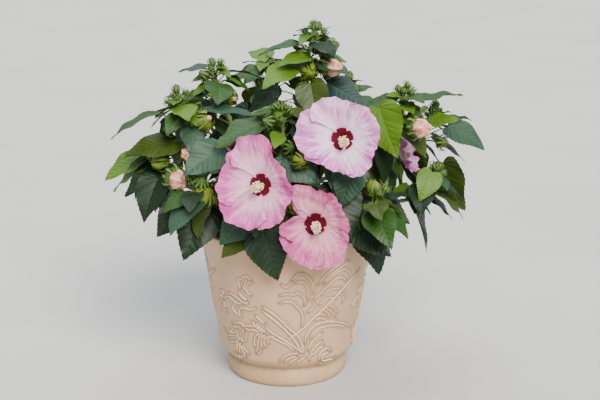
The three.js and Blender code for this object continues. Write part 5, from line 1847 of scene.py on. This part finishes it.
# Ornament: the raised lines of one motif, read off three enlarged parts of the photo. A part is given by
# the pixel at its upper left corner and by its enlargement. A line is its width in millimetres and the
# places that it passes through, across and down in its part. Four lines run on into the right part
PHOTO_SIZE = (600, 400)
PHOTO_PARTS = {"upper": (205, 250, 18.45), "lower": (205, 310, 18.45), "right": (280, 260, 14.26)}
ORNAMENT = {
    "upper": (
        (3.4, 650, 700, 622, 620, 612, 540, 655, 558), (3.8, 655, 555, 690, 510, 750, 485, 840, 550),
        (3.8, 840, 845, 765, 750, 770, 640, 865, 590), (3.4, 740, 760, 712, 660, 770, 555),
        (3.4, 620, 770, 680, 860, 770, 930), (3.4, 610, 885, 680, 960, 785, 985),
        (3.6, 440, 780, 520, 830, 590, 870, 612, 925), (3.6, 282, 732, 345, 775, 315, 830, 335, 890),
        (3.8, 335, 890, 440, 860, 560, 960, 680, 1000), (3.4, 330, 900, 265, 990, 330, 1060, 420, 1145),
        (3.2, 340, 930, 370, 1000, 400, 1070), (3.8, 600, 920, 515, 1040, 560, 1150, 665, 1225),
        (3.4, 690, 1030, 630, 1110, 645, 1190), (3.8, 660, 1110, 720, 1070, 820, 1105, 930, 1080),
    ),
    "lower": (
        (3.8, 930, 105, 1000, 170, 1090, 250), (3.6, 870, 210, 940, 310, 1075, 425),
        (3.4, 940, 250, 1010, 330, 1130, 420), (3.6, 1060, 440, 940, 470, 910, 580, 935, 690),
        (3.6, 1110, 465, 1000, 510, 975, 640, 955, 790), (3.2, 955, 800, 1010, 785, 1045, 735),
        (3.4, 1120, 490, 1035, 550, 1060, 700), (3.4, 1180, 480, 1090, 560, 1112, 690),
        (3.4, 1290, 500, 1200, 500, 1150, 555, 1172, 620),
        (3.6, 510, 235, 640, 235, 735, 300, 860, 292, 930, 310),
        (3.6, 740, 330, 790, 368, 900, 370, 1000, 420), (3.2, 530, 280, 580, 320, 645, 298),
        (3.4, 460, 360, 510, 425, 600, 380), (3.4, 420, 430, 480, 472, 565, 470),
        (3.6, 440, 520, 520, 525, 590, 490, 600, 400), (3.6, 450, 560, 530, 590, 605, 560, 640, 470),
        (3.2, 650, 500, 700, 565, 750, 550, 775, 400), (3.4, 720, 370, 665, 425, 640, 480),
        (3.4, 600, 570, 580, 660, 540, 760), (3.2, 625, 610, 600, 690, 595, 770),
        (3.4, 650, 600, 640, 700, 640, 790), (3.4, 680, 640, 740, 730, 815, 800),
        (3.4, 650, 660, 700, 750, 760, 830), (3.2, 610, 820, 670, 880, 700, 840, 765, 850),
    ),
    "right": (
        (4.2, 60, 1180, 200, 1080, 350, 960, 500, 810, 700, 620, 850, 460, 1000, 290, 1130, 130),
        (3.6, 0, 510, 100, 490, 200, 500, 262, 470, 360, 570, 340, 650),
        (3.8, 0, 620, 80, 597, 170, 605, 270, 700, 322, 800, 315, 960),
        (3.2, 20, 350, 75, 385, 130, 370, 155, 310),
        (3.8, 175, 290, 280, 190, 400, 240, 470, 350, 480, 480),
        (3.6, 220, 330, 300, 310, 380, 370, 405, 470, 405, 570), (3.4, 470, 575, 480, 660, 400, 750),
        (4.0, 540, 350, 680, 190, 850, 60, 950, 0), (4.0, 615, 330, 710, 220, 860, 110, 990, 10),
        (3.8, 480, 570, 600, 450, 740, 310, 860, 245, 960, 300),
        (3.6, 630, 340, 780, 200, 920, 130, 1000, 190, 1000, 270), (3.4, 600, 500, 720, 420, 870, 398),
        (3.2, 560, 640, 660, 560, 790, 530), (3.0, 690, 640, 740, 585, 790, 560),
        (3.0, 850, 470, 905, 530, 890, 600), (3.0, 900, 430, 942, 470, 930, 540),
        (3.2, 700, 650, 765, 680, 822, 755), (3.2, 660, 680, 730, 735, 782, 800),
        (3.2, 620, 710, 680, 755, 705, 805), (3.2, 520, 800, 580, 768, 660, 800),
        (3.4, 500, 865, 580, 830, 700, 872, 800, 840),
        (4.0, 360, 1200, 380, 1070, 520, 920, 720, 880, 900, 900, 1010, 960),
        (4.0, 430, 1120, 480, 1040, 600, 960, 780, 930, 930, 955),
        (3.6, 400, 1290, 460, 1170, 600, 1040), (3.6, 430, 1340, 500, 1240, 600, 1150),
        (3.6, 460, 1360, 540, 1270, 620, 1225), (3.4, 420, 1430, 430, 1370, 470, 1330),
        (3.8, 560, 1440, 570, 1340, 660, 1255, 730, 1300),
        (3.6, 620, 1460, 595, 1390, 640, 1335, 700, 1325),
        (3.4, 570, 1470, 650, 1510, 740, 1495, 830, 1450), (3.2, 620, 1455, 700, 1430, 780, 1410),
        (3.4, 0, 1440, 80, 1370, 170, 1338, 260, 1340), (3.2, 60, 1450, 140, 1400, 230, 1375),
        (3.2, 120, 1480, 190, 1430, 260, 1395), (3.2, 240, 1475, 300, 1420, 360, 1395),
        (3.4, 320, 1200, 330, 1260, 330, 1330),
    ),
}
RUNNING_ON = (
    ("upper", 4.2, (1060, 1060, 1250, 1180, 1430, 1330, 1500, 1390),
     (70, 925, 150, 1000, 230, 1070, 295, 1150, 322, 1300)),
    ("upper", 4.2, (1050, 1130, 1250, 1280, 1450, 1450),
     (80, 1010, 160, 1090, 240, 1200, 325, 1325)),
    ("lower", 4.0, (1130, 260, 1145, 340, 1280, 450, 1500, 580),
     (70, 1160, 200, 1240, 330, 1330)),
    ("lower", 3.8, (1220, 500, 1400, 590, 1500, 640),
     (90, 1205, 200, 1300)),
)


def rows_from(rows, radius, height):
    """Rows of a section measured from a radius and a height."""
    return [(radius + out, height + up, stain) for out, up, stain in rows]


def wall_radius(height):
    """Outer radius of the pot at heights above its groove, with the flare there."""
    waist, rim = (POT_WAIST_RADIUS, POT_WAIST_HEIGHT, 0), (POT_RIM_RADIUS, POT_HEIGHT, 0)
    radii, heights, _ = zip(*rows_from(FLARE_ROWS, GROOVE_RADIUS, FOOT_HEIGHT), waist, rim)
    return np.interp(height, heights, radii)


def seen_on_wall(part, places):
    """Degrees from the pot's front, and heights, of places read off the photo: where the camera's ray
    through each one meets the wall's cone."""
    left, top, enlargement = PHOTO_PARTS[part]
    places = np.array(places, float).reshape(-1, 2) / enlargement + (left, top)
    across, down = ((places - np.array(PHOTO_SIZE) / 2) / CAMERA_FOCUS).T
    pitch = math.radians(CAMERA_PITCH)
    ahead = math.sin(pitch) - down * math.cos(pitch)
    upward = -math.cos(pitch) - down * math.sin(pitch)
    x, y, z = CAMERA_PLACE
    slope = (POT_RIM_RADIUS - POT_WAIST_RADIUS) / (POT_HEIGHT - POT_WAIST_HEIGHT)
    radius = POT_WAIST_RADIUS + slope * (z - POT_WAIST_HEIGHT)
    square = across**2 + ahead**2 - (slope * upward) ** 2
    half = x * across + y * ahead - radius * slope * upward
    distance = (-half - np.sqrt(half**2 - square * (x * x + y * y - radius**2))) / square
    degrees = np.degrees(np.arctan2(x + distance * across, -y - distance * ahead))
    return np.stack([degrees, z + distance * upward], axis=1)


def ornament_strokes():
    """Each line's width and its places on the wall."""
    for part, rows in ORNAMENT.items():
        for width, *places in rows:
            yield width, seen_on_wall(part, places)
    for part, width, places, further in RUNNING_ON:
        yield width, np.concatenate([seen_on_wall(part, places), seen_on_wall("right", further)])


def ornament_lines():
    """All lines in closely spaced steps of angle and height, with their width and their motif's turn."""
    per_degree = math.radians(1) * (POT_WAIST_RADIUS + POT_RIM_RADIUS) / 2
    lines = []
    for width, places in ornament_strokes():
        line = catmull_rom(places * (per_degree, 1), 12)
        lengths = lengths_along(line)
        steps = np.linspace(0, lengths[-1], max(RIDGE_LEAST_STEPS, round(lengths[-1] / RIDGE_STEP)))
        line = at_lengths(line, lengths, steps) / (per_degree, 1)
        lines += [(line, width, motif * MOTIF_TURN) for motif in range(MOTIFS)]
    return lines


def on_wall(line, turn):
    """Places of a line on the pot's wall, and the wall's outward directions there."""
    radius = wall_radius(line[:, 1])
    angle = np.radians(line[:, 0] + TO_VIEWER + turn)
    slope = (wall_radius(line[:, 1] + 1) - wall_radius(line[:, 1] - 1)) / 2
    out = np.stack([np.cos(angle), np.sin(angle), -slope], axis=1)
    out /= np.linalg.norm(out, axis=1)[:, None]
    return np.stack([radius * np.cos(angle), radius * np.sin(angle), line[:, 1]], axis=1), out


def add_ridge(mesher, line, width, turn):
    """A rounded ridge along a line, partly sunk in the wall and tapered at its ends."""
    centre, out = on_wall(line, turn)
    along = np.gradient(centre, axis=0)
    along /= np.linalg.norm(along, axis=1)[:, None]
    aside = np.cross(along, out)
    shares = np.linspace(0, 1, len(line))
    size = np.clip(np.minimum(shares, 1 - shares) * RIDGE_TAPER, RIDGE_END, 1)[:, None] ** 0.5
    angles = even_angles(RIDGE_SIDES)
    wide = width / 2 * size * np.cos(angles)
    tall = RELIEF_HEIGHT * size * np.sin(angles) - RELIEF_SINK
    mesher.solid(centre[:, None] + wide[..., None] * aside[:, None] + tall[..., None] * out[:, None])


def pot_profile():
    """The pot's section as radius, height and how far it is stained, from the underside round the rim."""
    heights = np.linspace(POT_WAIST_HEIGHT, POT_HEIGHT - WALL_UNDER_RIM, WALL_ROWS)
    return np.array([
        *((radius, 0, 0) for radius in UNDERSIDE_RADII),
        *rows_from(FOOT_ROWS, FOOT_RADIUS, 0),
        *rows_from(GROOVE_ROWS + FLARE_ROWS, GROOVE_RADIUS, FOOT_HEIGHT),
        *((pot_radius(height), height, 0) for height in heights),
        *rows_from(OUTER_RIM_ROWS, POT_RIM_RADIUS, POT_HEIGHT),
        *rows_from(INNER_RIM_ROWS, POT_RIM_RADIUS - POT_WALL, POT_HEIGHT),
        *((pot_radius(height) - POT_WALL, height, INSIDE_STAIN) for height in INSIDE_HEIGHTS),
    ])


def pot_points(profile):
    """Points of the pot's body, a little uneven as cast, except on its underside."""
    angles = even_angles(POT_SIDES) + math.radians(TO_VIEWER)
    radii, heights = np.repeat(profile.T[:2, :, None], POT_SIDES, axis=2)
    is_wall = (heights > UNDERSIDE_TOP) & (radii > FOOT_RADIUS - UNDERSIDE_EDGE)
    radii = radii + np.where(is_wall, POT_UNEVEN * waves(POT_WAVES, angles, heights) - POT_DRAWN_IN, 0)
    return np.stack([radii * np.cos(angles), radii * np.sin(angles), heights], axis=-1)


def pot_wash_and_shade(points, profile, lines):
    """How far each point lies in the brown beside the ornament: partly washed-in colour, partly painted
    shade.
    """
    wash = np.zeros(points.shape[:2])
    for line, _, turn in lines:
        marks, _ = on_wall(line, turn)
        near = np.abs(profile[:, 1][:, None] - marks[:, 2]).min(axis=1) < WASH_AND_SHADE_REACH * 2
        rows = np.nonzero(near & (profile[:, 0] > GROOVE_RADIUS))[0]
        apart = np.linalg.norm(points[rows][:, :, None] - marks, axis=-1).min(axis=-1)
        wash[rows] = np.maximum(wash[rows], np.exp(-((apart / WASH_AND_SHADE_REACH) ** 2)))
    return wash


def pot_material(name, pale, deep):
    """Cream finish between two colours, with brown beside the ornament that is partly the pot's own washed-in
    colour and partly painted shade, stains in the groove and small pits."""
    skin = Skin(name)
    clouds = skin.noise(9, 4)
    grain = skin.noise(120, 4)
    # The brown beside the ornament, partly the pot's own washed-in colour and partly painted shade round the
    # raised lines
    wash = skin.combine("MULTIPLY", skin.attribute("wash"), skin.spread(clouds, (0.6, 1.0)))
    stain = skin.combine("MULTIPLY", skin.attribute("stain"), skin.spread(grain, (0.3, 0.9), (0.35, 0.65)))
    pits = skin.spread(skin.noise(260, 2), (0.0, 0.6), (0.66, 0.74))
    face = skin.ramp(clouds, (0.3, deep), (0.7, pale))
    for factor, colour in ((wash, WASH_AND_SHADE_COLOUR), (stain, STAIN_COLOUR), (pits, PIT_COLOUR)):
        face = skin.mix(factor, face, colour)
    skin.give("Base Color", face)
    skin.give("Roughness", skin.spread(grain, (0.42, 0.62)))
    skin.bump(grain, 0.5)
    return skin.material


def build_pot():
    """The pot's body and its ornament."""
    lines = ornament_lines()
    profile = pot_profile()
    points = pot_points(profile)
    values = {"wash": pot_wash_and_shade(points, profile, lines), "stain": profile[:, 2:]}
    uvs = np.stack(np.meshgrid(np.linspace(0, 1, POT_SIDES + 1), np.linspace(0, 1, len(profile))), axis=-1)
    body, relief = Mesher(), Mesher()
    body.grid(points, closed=True, uvs=uvs, values=values)
    for line, width, turn in lines:
        add_ridge(relief, line, width, turn)
    skin = pot_material("pot_body", *BODY_COLOURS)
    finish_piece(body.make("pot_body", [skin], unwrapped=True), "pot", "pot")
    # Paler colours for the raised lines: partly their own finish and partly a painted highlight
    finish_piece(relief.make("pot_relief", [pot_material("pot_relief", *RELIEF_COLOURS)]), "pot", "pot")


# Soil, with its lumps as rows of height, size and slice of the noise, and a crumb's profile in its size
SOIL_CLEAR = 0.3
SOIL_RINGS = 60
SOIL_SIDES = 150
SOIL_EDGE_DROP = 8
SOIL_EDGE_RAMP = (9, 0)
SOIL_LUMPS = 4.5
SOIL_NOISE = ((1, 22, 1.7), (0.5, 8, 4.1))
SOIL_SEED = 77
CRUMBS = 420
CRUMB_REACH = 0.97
CRUMB_SIZE = (1.5, 5)
CRUMB_RISE = 0.2
CRUMB = ((-1, 0.3), (-0.4, 0.8), (0.5, 0.7), (1, 0.25))


def lump(x, y):
    """Height of the soil's lumps at a place."""
    return sum(tall * noise.noise(Vector((x / size, y / size, part))) for tall, size, part in SOIL_NOISE)


def soil_points(edge):
    """Points of the soil's surface, lumpy and lower at the wall."""
    shares = np.linspace(0, 1, SOIL_RINGS)[:, None]
    angles = even_angles(SOIL_SIDES)
    x, y = edge * shares * np.cos(angles), edge * shares * np.sin(angles)
    lumps = SOIL_LUMPS * np.vectorize(lump)(x, y) * ramped(SOIL_EDGE_RAMP, shares)
    return np.stack([x, y, SOIL_HEIGHT - SOIL_EDGE_DROP * shares**3 + lumps], axis=-1)


def add_crumb(mesher, number, edge, draw):
    """A crumb or a bit of bark that lies on the soil."""
    reach = edge * CRUMB_REACH * math.sqrt(draw())
    angle = draw() * 2 * math.pi
    size = mix(CRUMB_SIZE, draw() ** 2)
    height = SOIL_HEIGHT - SOIL_EDGE_DROP * (reach / edge) ** 3 + size * CRUMB_RISE
    centre = np.array([reach * math.cos(angle), reach * math.sin(angle), height])
    axis = unit(np.array([draw() - 0.5, draw() - 0.5, draw() * 0.6]))
    rows = [(size * along, size * wide) for along, wide in CRUMB]
    mesher.solid(solid_of_rings(centre, axis, rows, 6, 2, 0.3), 1 + number % 2)


def build_soil():
    """Dark potting soil with crumbs and bits of bark on it."""
    edge = pot_radius(SOIL_HEIGHT) - POT_WALL - SOIL_CLEAR
    mesher = Mesher()
    mesher.grid(soil_points(edge), closed=True)
    draw = seeded(SOIL_SEED)
    for number in range(CRUMBS):
        add_crumb(mesher, number, edge, draw)
    skins = plant_materials("soil", "soil_bark", "soil_crumb")
    finish_piece(mesher.make("soil_surface", skins), "soil", "soil")


# Stem: rows of how far out and how high, from the radius of its base and of its top
STEM_SIDES = 140
STEM_SUNK = 3
STEM_FLARE = ((0, 0), (-1, 5), (-3, 10), (-6, 15))
STEM_SHOULDER = ((2, 20), (-2, 24))
STEM_TOP_RADII = (50, 42, 34, 26, 18, 10, 3, 0.5)
STEM_TOP_RISE = 25.2
STEM_FURROWS = ((1, 11, 2, 0), (0.7, 19, 0, 0), (0.5, 37, 1, 0))
STEM_DRAWN_IN = 2.4
STEM_FURROW_DEPTH = 1.3
KNOB_HEIGHT = 1.2
KNOB_SINK = 0.8


def stem_material():
    skin = Skin("stem_bark")
    grain = skin.noise(70, 5)
    skin.give("Base Color", skin.ramp(grain, (0.3, (0.055, 0.038, 0.024)), (0.7, (0.190, 0.140, 0.090))))
    skin.give("Roughness", 0.85)
    skin.bump(grain, 1.6)
    return skin.material


def build_stem():
    """The short woody stem, furrowed and knobbly, that the canes stand on."""
    rows = [(STEM_BASE_RADIUS + out, up) for out, up in STEM_FLARE]
    rows += [(STEM_TOP_RADIUS + out, up) for out, up in STEM_SHOULDER]
    rows += [(radius, STEM_TOP_RISE) for radius in STEM_TOP_RADII]
    radius, rise = np.array(rows).T[..., None]
    angles = even_angles(STEM_SIDES)
    depth = STEM_DRAWN_IN + STEM_FURROW_DEPTH * waves(STEM_FURROWS, angles)
    radius = radius - np.clip(radius / STEM_TOP_RADIUS, 0, 1) ** 4 * depth
    knobs = KNOB_HEIGHT * np.sin(radius / 5 + 3 * np.sin(3 * angles)) * np.sin(5 * angles + radius / 9)
    height = SOIL_HEIGHT - STEM_SUNK + rise + np.where(rise == STEM_TOP_RISE, knobs - KNOB_SINK, 0)
    mesher = Mesher()
    mesher.grid(np.stack([radius * np.cos(angles), radius * np.sin(angles), height], axis=-1), closed=True)
    finish_piece(mesher.make("stem_bark", [stem_material()]), "stem", "stem")


# Stage: floor, light and camera
FLOOR_SIZE = 40000
SKY_STRENGTH = 0.44
SKY_COLOUR = (0.86, 0.92, 1, 1)

# The camera's farthest distance, in metres
CAMERA_FAR = 100

# Lights from one side each, even over the whole stage: where from, softness in degrees, strength, colour
Sun = namedtuple("Sun", "place softness strength colour")
SUNS = {
    "key": Sun((950, -2700, 2700), 32, 5.8, (1, 0.97, 0.92)),
    "top": Sun((-500, 900, 3000), 60, 3.0, (0.90, 0.95, 1)),
}


def build_floor():
    skin = Skin("floor")
    grain = skin.noise(3, 4)
    skin.give("Base Color", skin.ramp(grain, (0.3, (0.52, 0.51, 0.495)), (0.7, (0.55, 0.54, 0.525))))
    skin.give("Roughness", 0.9)
    half = FLOOR_SIZE / 2
    mesher = Mesher()
    mesher.grid(np.array([[(x, y, 0) for x in (-half, half)] for y in (-half, half)]))
    mesher.make("floor", [skin.material])


def add_sun(name, sun):
    light = bpy.data.lights.new(name, "SUN")
    light.angle = math.radians(sun.softness)
    light.energy = sun.strength
    light.color = sun.colour
    lamp = bpy.data.objects.new(name, light)
    lamp.rotation_euler = (-Vector(sun.place)).to_track_quat("-Z", "Y").to_euler()
    bpy.context.scene.collection.objects.link(lamp)


def build_light():
    """Soft light as under an overcast sky, with more from the upper right and from above."""
    world = bpy.data.worlds.new("overcast")
    world.use_nodes = True
    background = world.node_tree.nodes["Background"]
    background.inputs["Color"].default_value = SKY_COLOUR
    background.inputs["Strength"].default_value = SKY_STRENGTH
    bpy.context.scene.world = world
    for name, sun in SUNS.items():
        add_sun(name, sun)


def build_camera():
    """The camera at the photo's view: in front, a little above the shrub and looking down on it."""
    camera = bpy.data.cameras.new("photo_view")
    camera.lens = CAMERA_LENS
    camera.sensor_width = CAMERA_SENSOR
    camera.clip_end = CAMERA_FAR
    holder = bpy.data.objects.new("photo_view", camera)
    holder.location = Vector(CAMERA_PLACE) * MM
    holder.rotation_euler = (math.radians(CAMERA_PITCH), 0, 0)
    bpy.context.scene.collection.objects.link(holder)
    bpy.context.scene.camera = holder


build_leaves()
build_stalks()
build_canes()
build_buds()
build_blooms()
build_pot()
build_soil()
build_stem()
build_floor()
build_light()
build_camera()
